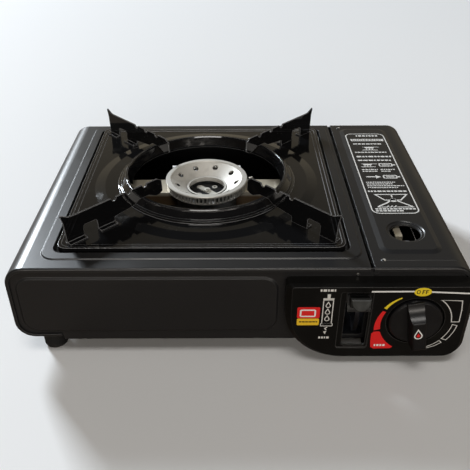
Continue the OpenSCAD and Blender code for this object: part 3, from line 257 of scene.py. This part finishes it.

# ---------------------------------------------------------------- plated sheet parts
# The tray and the carriage are galvanised sheet, blue-grey with soft spangles. Pins,
# rivets and screws are bright turned steel. The burner's wings are passivated cream;
# below their top bend they darken to brown as painted shade.

zinc = Paint("zinc_plated_sheet", metallic=0.95)
spangle = zinc.node("ShaderNodeTexVoronoi", dict(feature="F1"), Vector=zinc.place,
                    Scale=160.0, out="Color")
flake = zinc.node("ShaderNodeSeparateColor", {}, spangle)
stain = zinc.noise(35.0, 4.0).ramp(0.5, 0.75)
zinc.set(
    base_color=zinc.blend(stain * 0.5 + flake * 0.25, (0.56, 0.57, 0.59),
                          (0.36, 0.37, 0.38)),
    roughness=0.34 + flake * 0.16 + stain * 0.12,
)
zinc.bumps((zinc.noise(1500.0, 2.0), 0.1, 0.0001))
coat(zinc, "cartridge_tray", "cartridge_carriage", "mixing_tube")

bright = Paint("bright_steel", metallic=1.0)
turned = bright.noise(900.0, 2.0, (0.12, 1.0, 1.0))
tarnish = bright.noise(120.0, 3.0).ramp(0.5, 0.8)
bright.set(
    base_color=bright.blend(tarnish, (0.66, 0.65, 0.62), (0.42, 0.38, 0.32)),
    roughness=0.2 + turned * 0.16 + tarnish * 0.1,
)
bright.bumps((turned, 0.1, 0.00008))
coat(bright, "hinge_pins", "lever_pivot_pin", "carriage_rivets", "electrode_tip",
     "panel_screws", "valve_spindle", "striker")

cream = Paint("cream_plated_wing", metallic=0.55)
wing_top = 78.5 * mm
wing_bend = 75.5 * mm
heat = cream.noise(60.0, 3.0).ramp(0.45, 0.75)
# Dark brown below the wing's top bend: painted shade on the lower fold.
painted_fold_shade = cream.axis("Z").ramp(wing_top, wing_bend)
plated = cream.blend(heat, (0.74, 0.68, 0.55), (0.58, 0.5, 0.36))
cream.set(
    base_color=cream.blend(painted_fold_shade, plated, (0.2, 0.13, 0.07)),
    roughness=0.36 + heat * 0.14,
)
cream.bumps((cream.noise(1100.0, 2.0), 0.12, 0.0001))
coat(cream, "burner_bracket_left", "burner_bracket_right", "socket_plate")

# ---------------------------------------------------------------- burner
# The flame ring is an aluminium casting, turned on its rim and left matt in the dish.
# Its faces inside the ports and under the dish are near black: painted shade. The
# chamber is sand cast, and blued steel closes it.

cast = Paint("cast_burner_alloy", metallic=0.4)
head_low, head_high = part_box("burner_head")
from_axis_x = cast.axis("X") - (head_low.x + head_high.x) / 2
from_axis_y = cast.axis("Y") - (head_low.y + head_high.y) / 2
radius = (from_axis_x ** 2.0 + from_axis_y ** 2.0) ** 0.5
rim_r = 30.8 * mm
tool_step = 0.45 * mm
lathe = (radius * (2 * math.pi / tool_step)).math("SINE")
sandy = cast.noise(1300.0, 4.0)
sooty = cast.noise(140.0, 4.0).ramp(0.42, 0.72)
rim = radius.ramp(rim_r - 0.3 * mm, rim_r + 0.4 * mm)
facing = cast.node("ShaderNodeTexCoord", {}, out="Normal")
facing_x = cast.axis("X", facing)
facing_y = cast.axis("Y", facing)
outward = (facing_x * from_axis_x + facing_y * from_axis_y) / radius
# Faces turned outward inside the rim, in the ports and under the dish, go near black:
# painted shade.
painted_port_shade = (outward > 0.1) * (radius < rim_r)
metal = cast.blend(sooty * 0.35 * (1.0 - rim), (0.66, 0.64, 0.59), (0.38, 0.36, 0.32))
cast.set(
    base_color=cast.blend(painted_port_shade, metal, (0.02, 0.018, 0.016)),
    roughness=0.52 - rim * 0.16 + sandy * 0.14,
)
cast.bumps((sandy * (1.0 - rim), 0.35, 0.0002), (lathe * rim, 0.12, 0.00004))
coat(cast, "burner_head")

pale_zinc = Paint("pale_zinc", metallic=0.35)
bloom = pale_zinc.noise(240.0, 3.0).ramp(0.4, 0.75)
pale_zinc.set(base_color=pale_zinc.blend(bloom, (0.74, 0.72, 0.66), (0.5, 0.48, 0.43)),
              roughness=0.36 + bloom * 0.16)
coat(pale_zinc, "burner_strap", "burner_fasteners")

raw = Paint("raw_casting", metallic=0.7)
raw_sand = raw.noise(900.0, 4.0)
raw.set(
    base_color=raw.blend(raw.noise(70.0, 3.0).ramp(0.4, 0.7), (0.5, 0.5, 0.5),
                         (0.32, 0.31, 0.29)),
    roughness=0.5 + raw_sand * 0.15,
)
raw.bumps((raw_sand, 0.4, 0.0002))
coat(raw, "burner_base", "regulator_body", "regulator_cover")

blued_and_painted_shade = Paint("blued_steel_and_painted_shade", metallic=0.9, base_color=(0.035, 0.035, 0.04))
blued_and_painted_shade.set(roughness=0.3 + blued_and_painted_shade.noise(90.0, 3.0) * 0.2)
# Base plate and divider wall are zinc sheet; their blued near-black is painted shade inside
# the stove.
coat(blued_and_painted_shade, "burner_inner_plate", "lever_arm", "lever_bracket", "regulator_bracket",
     "base_plate", "divider_wall")

brass = Paint("brass", metallic=1.0)
aged = brass.noise(150.0, 3.0).ramp(0.4, 0.8)
brass.set(base_color=brass.blend(aged, (0.78, 0.6, 0.28), (0.5, 0.36, 0.16)),
          roughness=0.22 + aged * 0.15)
coat(brass, "gas_pipe", "gas_jet", "regulator_screws")

glaze = Paint("white_ceramic", coat_weight=0.4, coat_roughness=0.08)
yellowed = glaze.noise(180.0, 3.0).ramp(0.5, 0.8)
glaze.set(base_color=glaze.blend(yellowed, (0.82, 0.8, 0.74), (0.7, 0.66, 0.57)),
          roughness=0.28 + glaze.noise(300.0) * 0.1)
coat(glaze, "electrode_insulator")

sleeve = Paint("wire_sleeve")
weave = 4200.0
braid = (sleeve.axis("X") * weave).math("SINE") * (sleeve.axis("Y") * weave).math("SINE")
sleeve.set(base_color=(0.62, 0.6, 0.54), roughness=0.7 + braid * 0.05)
sleeve.bumps((braid, 0.3, 0.0002))
coat(sleeve, "ignition_wire")

# ---------------------------------------------------------------- controls
# Control box, knob, lever tab and igniter are moulded in black plastic: the box with a
# fine spark-eroded texture, the knob smoother from handling. Box, tab and igniter have
# their sharp edges lightened to grey as a painted highlight.

moulded = Paint("moulded_black_plastic", specular_ior_level=0.22)
erosion = moulded.noise(2600.0, 3.0)
haze = moulded.noise(28.0, 4.0).ramp(0.4, 0.75)
lint = moulded.spots(380.0, 0.1) * moulded.noise(30.0).ramp(0.5, 0.72)
dull = moulded.blend(lint * 0.6 + haze * 0.06, (0.005, 0.0048, 0.0045),
                     (0.07, 0.066, 0.06))
# Sharp edges are blended to grey: a painted highlight.
moulded.set(
    base_color=moulded.blend(moulded.edges(0.8 * mm) * 0.5, dull, (0.16, 0.155, 0.15)),
    roughness=0.3 + erosion * 0.08 + haze * 0.05,
)
moulded.bumps((erosion, 0.14, 0.0001), edge=0.6 * mm)
coat(moulded, "control_box", "igniter_body", "lever_tab")

handled = Paint("handled_black_plastic", specular_ior_level=0.5, coat_roughness=0.12)
polish = handled.noise(38.0, 4.0).ramp(0.4, 0.7)
handled.set(
    base_color=handled.blend(handled.spots(360.0, 0.08) * 0.5, (0.007, 0.007, 0.008),
                             (0.06, 0.058, 0.054)),
    roughness=0.32 + polish * 0.1,
    coat_weight=0.1 + polish * 0.1,
)
handled.bumps((handled.noise(1700.0, 2.0), 0.08, 0.0001), edge=0.6 * mm)
coat(handled, "knob")

# Screen-printed inks, a few hundredths thick, slightly dry in specks


def ink(name, colour, dry):
    """A paint of this colour that thins in specks; dry is how dark the specks get."""
    made = Paint(name)
    ink_specks_and_edge_highlight = made.noise(900.0, 3.0).ramp(0.62, 0.8)
    made.set(base_color=made.blend(ink_specks_and_edge_highlight * dry, colour, tuple(c * 0.4 for c in colour)),
             roughness=0.42 + ink_specks_and_edge_highlight * 0.2)
    return made


white_ink = ink("white_ink", (0.92, 0.92, 0.9), 0.4)
grey_ink = ink("grey_ink", (0.78, 0.77, 0.74), 0.4)
yellow_ink = ink("yellow_ink", (0.95, 0.72, 0.03), 0.2)
amber_ink = ink("amber_ink", (0.95, 0.6, 0.03), 0.2)
red_ink = ink("red_ink", (0.85, 0.02, 0.02), 0.2)
dark_ink = ink("dark_ink", (0.03, 0.02, 0.01), 0.2)

# Outlines for prints, in millimetres on the printed face. Each returns polygons.


def bar(x0, y0, x1, y1):
    """An upright rectangle between two corners."""
    return [[(x0, y0), (x1, y0), (x1, y1), (x0, y1)]]


def arc(cx, cy, rx, ry, start, end, steps):
    """Points along an arc, angles in degrees counted from +x towards +y."""
    turns = [math.radians(start + (end - start) * i / steps) for i in range(steps + 1)]
    return [(cx + rx * math.cos(a), cy + ry * math.sin(a)) for a in turns]


def oval(cx, cy, rx, ry):
    return [arc(cx, cy, rx, ry, 0, 360, 40)[:-1]]


def rounded(x0, y0, x1, y1, r):
    corners = ((x1 - r, y1 - r), (x0 + r, y1 - r), (x0 + r, y0 + r), (x1 - r, y0 + r))
    outline = []
    for quarter, (x, y) in enumerate(corners):
        outline += arc(x, y, r, r, 90 * quarter, 90 * quarter + 90, 6)
    return [outline]


def stroke(points, width, closed=False):
    """A line of even width along points, as one quad for each stretch, mitred."""
    count = len(points)
    sides = []
    for i, (x, y) in enumerate(points):
        before = points[i - 1] if closed or i else points[0]
        after = points[(i + 1) % count] if closed or i < count - 1 else points[-1]
        ahead = Vector((after[0] - x, after[1] - y))
        behind = Vector((x - before[0], y - before[1]))
        way = ahead.normalized() if ahead.length else behind.normalized()
        back = behind.normalized() if behind.length else way
        mean = (way + back).normalized()
        reach = width / 2 / max(mean.dot(way), 0.4)
        side = Vector((-mean.y, mean.x)) * reach
        sides.append(((x + side.x, y + side.y), (x - side.x, y - side.y)))
    quads = []
    for i in range(count if closed else count - 1):
        (left, right), (next_left, next_right) = sides[i], sides[(i + 1) % count]
        quads.append([left, right, next_right, next_left])
    return quads


def frame_of(x0, y0, x1, y1, r, width):
    """The outline of a rounded rectangle, as a stroke."""
    return stroke(rounded(x0, y0, x1, y1, r)[0], width, closed=True)


def band(centre, inner, outer, start, end, steps=16):
    """Part of a ring whose inner and outer radii may change evenly from start to end."""
    cells = []
    for i in range(steps):
        ends = []
        for share in (i / steps, (i + 1) / steps):
            a = math.radians(start + (end - start) * share)
            ends.append([(centre[0] + r * math.cos(a), centre[1] + r * math.sin(a))
                         for r in (inner[0] + (inner[1] - inner[0]) * share,
                                   outer[0] + (outer[1] - outer[0]) * share)])
        cells.append([ends[0][0], ends[0][1], ends[1][1], ends[1][0]])
    return cells


def dashes(x0, x1, y, height, longest, seed):
    """A row of short bars close together, as dense as a line of small print."""
    rng = random.Random(seed)
    cells = []
    x = x0
    while x < x1 - longest * 0.3:
        length = min(rng.uniform(0.35, 1.0) * longest, x1 - x)
        cells += bar(x, y - height / 2, x + length, y + height / 2)
        x += length + height * 0.35
    return cells


def moved(polygons, dx, dy, size=1.0):
    return [[(x * size + dx, y * size + dy) for x, y in polygon] for polygon in polygons]


def printed(name, polygons, paint, place, body):
    """Thin print: place turns a point in millimetres into one in the row frame."""
    vertices = []
    faces = []
    for polygon in polygons:
        faces.append(list(range(len(vertices), len(vertices) + len(polygon))))
        vertices += [place(x, y) for x, y in polygon]
    return piece(name, vertices, faces, paint, body)


# ---------------------------------------------------------------- print on the box
# Round the knob: closed mark at the top, flame sectors at both sides, spark block at
# the lower left. Left of the lever: a red and amber sticker and a cartridge drawing.
# Measures are millimetres in X and Z of the frame.

box_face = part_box("control_box")[0].y
ink_t = 0.05 * mm
knob_at = next(joint["pos_m"] for joint in frame["record"]["behaviour"]["joints"]
               if joint["name"] == "knob_turn")
dial = (knob_at[0] / mm, knob_at[2] / mm)


def box_print(name, polygons, paint, layer=1):
    """Print on the box's face; layer 2 lies on the ink of layer 1."""
    printed(name, polygons, paint,
            lambda x, z: Vector((x * mm, box_face - ink_t * layer, z * mm)), "stove")


def from_dial(angle, r):
    """A point round the knob's axis, in degrees and millimetres."""
    a = math.radians(angle)
    return (dial[0] + r * math.cos(a), dial[1] + r * math.sin(a))


off_x = dial[0] + 1.4
off_z = dial[1] + 27.1
gap = 6.0
left_rule = [(93.6, 71.9), (off_x - gap, 72.0), (off_x - gap, 73.3), (93.6, 73.2)]
right_rule = [(off_x + gap, 71.5), (163.4, 70.0), (163.4, 71.3), (off_x + gap, 72.8)]
box_print("rules_beside_off", [left_rule, right_rule], white_ink)
box_print("off_oval", oval(off_x, off_z, 6.2, 3.8), yellow_ink)
letter_o = stroke(arc(-3.2, 0.0, 1.1, 1.5, 0, 360, 20)[:-1], 0.6, closed=True)
letter_f = bar(-0.8, -1.8, -0.1, 1.8) + bar(-0.1, 1.2, 1.2, 1.8)
letter_f += bar(-0.1, -0.2, 0.9, 0.35)
off_word = letter_o + moved(letter_f, 0.3, 0.0) + moved(letter_f, 2.8, 0.0)
box_print("off_word", moved(off_word, off_x, off_z), dark_ink, layer=2)

small_sector = band(dial, (24.6, 24.9), (25.6, 27.2), 120, 153)
box_print("flame_sector_small", small_sector, yellow_ink)
large_sector = band(dial, (24.0, 25.8), (26.6, 30.6), 158.5, 197)
box_print("flame_sector_large", large_sector, red_ink)
spark_block = [(98.0, 24.8), (97.8, 33.0), (99.4, 34.8), (102.5, 35.2)]
spark_block += [from_dial(203 + 38 * i / 8, 26.5 + 1.9 * i / 8) for i in range(9)]
spark_block += [(115.3, 20.0), (113.6, 18.2), (101.0, 17.8), (98.6, 19.6)]
box_print("spark_block", [spark_block], red_ink)
box_print("spark_row", dashes(101.0, 109.4, 21.4, 2.0, 2.4, 3), white_ink, layer=2)

high = [(159.3, 64.0), (160.4, 55.5), (160.6, 44.2), (155.0, 44.2)]
high += [from_dial(4 + 46 * i / 8, 26.2 - 0.8 * i / 8) for i in range(9)]
high += [(144.4, 64.6)]
box_print("high_flame", stroke(high, 0.7, closed=True), grey_ink)
middle = arc(*dial, 27.9, 27.9, -7, -38, 8) + arc(*dial, 31.6, 31.6, -36, -8, 8)
box_print("middle_flame", stroke(middle, 0.6, closed=True), grey_ink)
low = arc(*dial, 28.4, 28.0, -43, -72, 8)
low += [from_dial(-70, 29.4), from_dial(-54, 30.4), from_dial(-43, 31.0)]
box_print("low_flame", stroke(low, 0.55, closed=True), grey_ink)

box_print("sticker_red", rounded(41.9, 48.1, 58.3, 58.5, 1.2), red_ink)
box_print("sticker_window", frame_of(44.4, 49.9, 54.9, 55.8, 0.9, 1.2), white_ink, layer=2)
box_print("sticker_amber", rounded(42.0, 41.4, 58.2, 47.8, 1.0), amber_ink)
box_print("sticker_row", dashes(43.6, 57.0, 44.7, 1.1, 2.4, 5), dark_ink, layer=2)

can_x = 63.8
can_low = 43.0
can_high = 65.0
drop_pitch = 6.3
collar_top = can_high + 1.7
stem_top = collar_top + 3.7
can = frame_of(can_x - 3.5, can_low, can_x + 3.5, can_high, 0.6, 0.7)
can += bar(can_x - 3.9, can_high, can_x + 3.9, collar_top)
can += bar(can_x - 1.1, collar_top, can_x + 1.1, stem_top)
can += frame_of(can_x - 4.3, can_low - 2.4, can_x + 4.3, can_low, 0.4, 0.6)
drop = arc(0.0, -0.5, 1.25, 1.25, 150, 390, 14) + [(0.0, 2.2)]
drop_line = stroke(drop, 0.55, closed=True)
for step in range(3):
    can += moved(drop_line, can_x, can_low + 4.8 + step * drop_pitch, 1.25)
can += stroke([(can_x + 0.9, 39.6), (can_x - 0.9, 38.2), (can_x + 0.3, 36.6)], 0.8)
can += [[(can_x - 1.9, 35.2), (can_x + 0.7, 35.8), (can_x - 0.5, 32.4)]]
can += dashes(57.4, 69.2, 73.8, 2.0, 2.6, 8) + dashes(58.8, 66.6, 29.2, 2.0, 2.2, 9)
box_print("cartridge_drawing", can, grey_ink)

# ---------------------------------------------------------------- thumb pad
# The lever's tab ends in a shield-shaped pad that leans out at the bottom, paler than
# the rest, with a bevelled rim. Its measures are millimetres.

pale_pad = Paint("pale_pad_plastic", specular_ior_level=0.5)
scuffs = pale_pad.noise(420.0, 4.0, (1.0, 1.0, 0.3)).ramp(0.45, 0.75)
pale_pad.set(base_color=pale_pad.blend(scuffs * 0.6, (0.028, 0.03, 0.029), (0.055, 0.058, 0.056)),
         roughness=0.34 + scuffs * 0.14)
pale_pad.bumps((pale_pad.noise(1600.0, 2.0), 0.1, 0.0001))
tab_low, tab_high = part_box("lever_tab")
tab_x = (tab_low.x + tab_high.x) / 2 / mm
pad_top = 71.4
pad_half_w = 7.0
pad_h = 8.6
pad_root = 3.0
pad_proud = 0.3
pad_slope = 0.28
bevel_w = 0.8
bevel_depth = 0.5
shoulder = 1.0
shield = [(-pad_half_w, 0.0), (pad_half_w, 0.0)]
shield += arc(0.0, -shoulder, pad_half_w, pad_h - shoulder, -6, -174, 16)


def pad_ring(shrink, back):
    """The shield, its edge moved in by shrink and set back from the leaning face."""
    ring = []
    for x, z in shield:
        inward = Vector((-x, -pad_h * 0.45 - z)).normalized() * shrink
        lean = -(z + inward.y) * pad_slope
        ring.append(((tab_x + x + inward.x) * mm,
                     tab_low.y - (pad_proud + lean - back) * mm,
                     (pad_top + z + inward.y) * mm))
    return ring


def skin(rings):
    """Vertices and faces of a skin over rings of equal count, closed at the last one."""
    count = len(rings[0])
    faces = [[k * count + i, k * count + (i + 1) % count,
              (k + 1) * count + (i + 1) % count, (k + 1) * count + i]
             for k in range(len(rings) - 1) for i in range(count)]
    vertices = [corner for ring in rings for corner in ring]
    return vertices, faces + [list(range(len(vertices) - count, len(vertices)))]


pad = skin([pad_ring(0.0, pad_root), pad_ring(0.0, bevel_depth), pad_ring(bevel_w, 0.0)])
piece("thumb_pad", *pad, pale_pad, "lever")

# ---------------------------------------------------------------- knob mark
# A white drop with a red heart marks the pointer's end. It is printed on the flat of the
# grip, which leans a little at rest, and turns with the knob.

grip_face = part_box("knob")[0].y
grip_lean = math.radians(9.0)


def on_grip(x, z):
    """A point on the grip's face, x across the grip and z along it."""
    turned_x = x * math.cos(grip_lean) - z * math.sin(grip_lean)
    turned_z = x * math.sin(grip_lean) + z * math.cos(grip_lean)
    return Vector((knob_at[0] + turned_x * mm, grip_face - ink_t * 0.5,
                   knob_at[2] + turned_z * mm))


printed("knob_drop", moved(stroke(drop, 0.42, closed=True), -0.9, -1.6, 2.1), white_ink,
        on_grip, "knob_body")
printed("knob_heart", moved([drop], -0.9, -2.2, 1.0), red_ink, on_grip, "knob_body")

# ---------------------------------------------------------------- print on the lid
# White outline with rows of small print and pictures of a pan, flames, a cartridge and
# a stand. The rows are plain bars, so the lid carries no wording. Measures are
# millimetres in X and Y of the frame.

lid_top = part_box("lid")[1].z


def lid_ink(name, polygons, paint, layer=1):
    """Print on the lid; layer 2 lies on the ink of layer 1."""
    printed(name, polygons, paint,
            lambda x, y: Vector((x * mm, y * mm, lid_top + ink_t * layer)), "lid_body")


lid_print = frame_of(108.6, -41.4, 146.4, 112.0, 6.0, 1.0)
lid_print += dashes(118.8, 141.4, 107.3, 3.0, 3.2, 1)
lid_print += bar(112.2, 95.2, 144.4, 99.8)
rows = [(88.5, 2.2, 113.2, 142.0), (70.0, 2.0, 112.0, 142.0), (60.8, 2.6, 112.0, 144.6),
        (53.0, 2.4, 112.0, 144.6), (34.6, 1.6, 112.6, 127.0), (31.2, 1.6, 112.6, 126.0),
        (34.6, 1.6, 129.4, 142.4), (31.2, 1.6, 129.4, 139.0), (10.6, 1.5, 112.0, 138.0),
        (7.4, 1.5, 112.0, 134.6), (4.2, 1.5, 112.0, 144.6), (1.0, 1.5, 112.0, 138.0),
        (-5.4, 2.2, 110.8, 145.2), (-34.6, 1.8, 111.6, 144.6), (-37.6, 1.8, 111.6, 134.0)]
for seed, (row_y, letter_h, row_x0, row_x1) in enumerate(rows, start=20):
    lid_print += dashes(row_x0, row_x1, row_y, letter_h, letter_h * 1.8, seed)
pan_icon = [[(-4.2, 0.6), (-3.2, -1.4), (3.2, -1.4), (4.2, 0.6)]]
pan_icon += bar(-5.5, 0.6, 5.5, 1.2) + bar(5.5, 0.4, 8.4, 1.1)
fire = stroke([(-2.4, -3.9), (-3.0, -3.0), (-2.2, -1.9)], 0.8)
fire += moved(fire, 2.4, 0.0) + moved(fire, 4.8, 0.0)
stove_icon = bar(-6.4, -5.2, 6.4, -4.3) + pan_icon + fire
can_icon = frame_of(-6.0, -2.2, 4.0, 2.2, 0.8, 1.0) + bar(4.2, -0.9, 6.6, 0.9)
can_icon += bar(-4.2, -0.7, 2.2, 0.5)
arrow = stroke([(-4.0, 0.0), (2.2, 0.0)], 1.2)
arrow += [[(2.0, 2.2), (5.4, 0.0), (2.0, -2.2)]]
lid_print += moved(stove_icon, 127.4, 80.4, 1.15)
lid_print += moved(stove_icon, 119.4, 44.8, 1.05) + moved(can_icon, 137.0, 43.6, 1.15)
lid_print += moved(arrow, 119.6, 20.6, 1.4) + moved(can_icon, 136.4, 20.6, 1.15)
basin = [(115.6, -11.0), (142.4, -11.0), (135.6, -20.4), (122.0, -20.4)]
lid_print += stroke(basin, 1.2, True) + stroke([(129.2, -11.0), (129.2, -16.0)], 1.0)
lid_print += stroke([(114.6, -31.0), (123.0, -25.0), (129.0, -18.4), (136.0, -25.0),
                     (143.0, -31.0)], 1.4)
lid_print += oval(129.2, -20.8, 3.0, 2.6) + moved(fire, 126.4, -27.0, 1.3)
lid_print += bar(114.0, -32.2, 144.0, -31.2)
lid_ink("lid_print", lid_print, grey_ink)
lid_ink("band_row", dashes(113.6, 143.0, 97.5, 1.9, 2.6, 4), dark_ink, layer=2)

# ---------------------------------------------------------------- lid trim
# Two zinc rivet heads hold the stiffener under the lid's left edge. A black strip under
# its side wall fills the gap to the cartridge tray with painted shade.

rivet_r = 1.3 * mm
rivet_h = 0.6 * mm
bead_h = 0.8 * mm
flange_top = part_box("body_shell")[1].z - bead_h
dome = [(1.0, 0.0), (0.92, 0.55), (0.6, 0.9), (0.2, 1.0)]
rivet_sides = 12
for name, x, y in (("lid_rivet_front", 104.9, -103.8), ("lid_rivet_rear", 105.0, 130.2)):
    levels = []
    for share, rise in dome:
        circle = arc(x * mm, y * mm, rivet_r * share, rivet_r * share, 0, 360, rivet_sides)
        levels.append([(px, py, flange_top + rivet_h * rise) for px, py in circle[:-1]])
    piece(name, *skin(levels), pale_zinc, "lid_body", smooth=True)

lid_low, lid_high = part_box("lid")
# Black strip under the lid's side wall: painted shade, standing where the gap is in shadow.
shade_strip_in = lid_high.x - 7.0 * mm
shade_strip_out = lid_high.x - 1.0 * mm
shade_strip_z = 29.6 * mm
shade_strip_top = shade_strip_z + 0.6 * mm
shade_strip_end = 14.0 * mm
section = ((shade_strip_in, shade_strip_z), (shade_strip_out, shade_strip_z), (shade_strip_out, shade_strip_top), (shade_strip_in, shade_strip_top))
vertices = [(x, y, z) for y in (lid_low.y + shade_strip_end, lid_high.y - shade_strip_end)
            for x, z in section]
faces = [(0, 3, 2, 1), (4, 5, 6, 7), (0, 1, 5, 4), (1, 2, 6, 5), (2, 3, 7, 6), (3, 0, 4, 7)]
piece("lid_gap_shade_strip", vertices, faces, satin_black, "lid_body")

# ---------------------------------------------------------------- feet
# Four feet of moulded black rubber, dull and a little rough, with pale dust that
# gathers towards the sole.

rubber = Paint("foot_rubber", specular_ior_level=0.3)
sole = rubber.axis("Z").ramp(4 * mm, 0.0)
dusty = rubber.noise(200.0, 4.0).ramp(0.5, 0.8)
rubber.set(base_color=rubber.blend(sole * 0.5 + dusty * 0.25, (0.014, 0.014, 0.014),
                                   (0.09, 0.085, 0.075)),
           roughness=0.66 + rubber.noise(700.0) * 0.15)
rubber.bumps((rubber.noise(1400.0, 3.0), 0.25, 0.0002))
coat(rubber, "foot_front_left", "foot_front_right", "foot_rear_left", "foot_rear_right")

# ---------------------------------------------------------------- stage and light
# Pale table seen against a white room. What the stove mirrors is dimmer: a brown table,
# a warm wall behind and a dark ceiling, but for a cool window at the left, far behind.

table = Paint("table", roughness=0.75)
seen = table.node("ShaderNodeLightPath", {}, out="Is Camera Ray")
table.set(base_color=table.blend(seen, (0.12, 0.09, 0.065), (0.88, 0.88, 0.88)))
half = 3.0
mesh = bpy.data.meshes.new("table")
mesh.from_pydata([(-half, -half, 0), (half, -half, 0), (half, half, 0), (-half, half, 0)],
                 [], [(0, 1, 2, 3)])
mesh.materials.append(table.material)
floor = bpy.data.objects.new("table", mesh)
bpy.context.scene.collection.objects.link(floor)

world = bpy.data.worlds.new("room")
bpy.context.scene.world = world
room = Tree(world)
gaze = room.node("ShaderNodeTexCoord", {}, out="Generated")
gaze_y, gaze_z = (room.node("ShaderNodeSeparateXYZ", {}, gaze, out=name) for name in "YZ")
low_wall = room.blend(gaze_y.ramp(0.2, 0.7, "LINEAR"), (0.035, 0.028, 0.02),
                      (0.26, 0.225, 0.165))
tone = room.blend(gaze_z.ramp(0.3, 0.72, "LINEAR"), low_wall, (0.03, 0.03, 0.03))
mirrored = room.node("ShaderNodeBackground", {}, tone, 1.0)
backdrop = room.node("ShaderNodeBackground", {}, (0.93, 0.93, 0.93), 1.0)
to_camera = room.node("ShaderNodeLightPath", {}, out="Is Camera Ray")
both = room.node("ShaderNodeMixShader", {}, to_camera, mirrored, backdrop)
room.node("ShaderNodeOutputWorld", {}, both)


def lamp(name, place, target, size, power, colour):
    """Soft rectangular lamp aimed at a point."""
    data = bpy.data.lights.new(name, "AREA")
    data.shape = "RECTANGLE"
    data.size, data.size_y = size
    data.energy = power
    data.color = colour
    made = bpy.data.objects.new(name, data)
    made.location = place
    way = Vector(target) - Vector(place)
    made.rotation_mode = "QUATERNION"
    made.rotation_quaternion = way.to_track_quat("-Z", "Y")
    bpy.context.scene.collection.objects.link(made)


def around(azimuth, elevation, distance):
    """A place seen from the stove; azimuth 0 is straight behind it, 90 is its right."""
    a, e = math.radians(azimuth), math.radians(elevation)
    way = Vector((math.sin(a) * math.cos(e), math.cos(a) * math.cos(e), math.sin(e)))
    return way * distance


foot_level = (0, 0, 0)
mid_height = (0, 0, 0.05)
lamp("window", around(-36, 29, 8.0), mid_height, (1.5, 2.1), 700.0, (0.86, 0.93, 1.0))
lamp("ceiling", around(185, 68, 4.0), foot_level, (1.8, 1.2), 46.0, (1.0, 0.97, 0.93))
lamp("front_fill", around(175, 16, 4.4), mid_height, (6.0, 0.8), 92.0, (1.0, 0.94, 0.86))

# ---------------------------------------------------------------- camera
# Standing in front of the stove, above it and looking down at the burner. The focal
# length and the shifts are in the same unit as the frame's width.

camera_at = Vector((-2.6, -465.8, 347.1)) * mm
yaw, pitch, roll = (math.radians(a) for a in (0.17, 33.58, -0.29))
frame_w = 470.0
focal = 617.48
ahead = Vector((0, math.cos(pitch), -math.sin(pitch)))
upward = Vector((0, math.sin(pitch), math.cos(pitch)))
across = Vector((1, 0, 0))
right_way = across * math.cos(roll) + upward * math.sin(roll)
up_way = upward * math.cos(roll) - across * math.sin(roll)
turn = Matrix.Rotation(yaw, 3, "Z")
columns = [turn @ right_way, turn @ up_way, -(turn @ ahead)]
lens = bpy.data.cameras.new("camera")
lens.sensor_width = 36.0
lens.lens = focal / frame_w * lens.sensor_width
lens.shift_x = 1.14 / frame_w
lens.shift_y = 0.39 / frame_w
lens.clip_start = 0.01
camera = bpy.data.objects.new("camera", lens)
facing_axes = Matrix(columns).transposed().to_4x4()
camera.matrix_world = Matrix.Translation(camera_at) @ facing_axes
bpy.context.scene.collection.objects.link(camera)
bpy.context.scene.camera = camera
bpy.context.scene.view_settings.view_transform = "Standard"
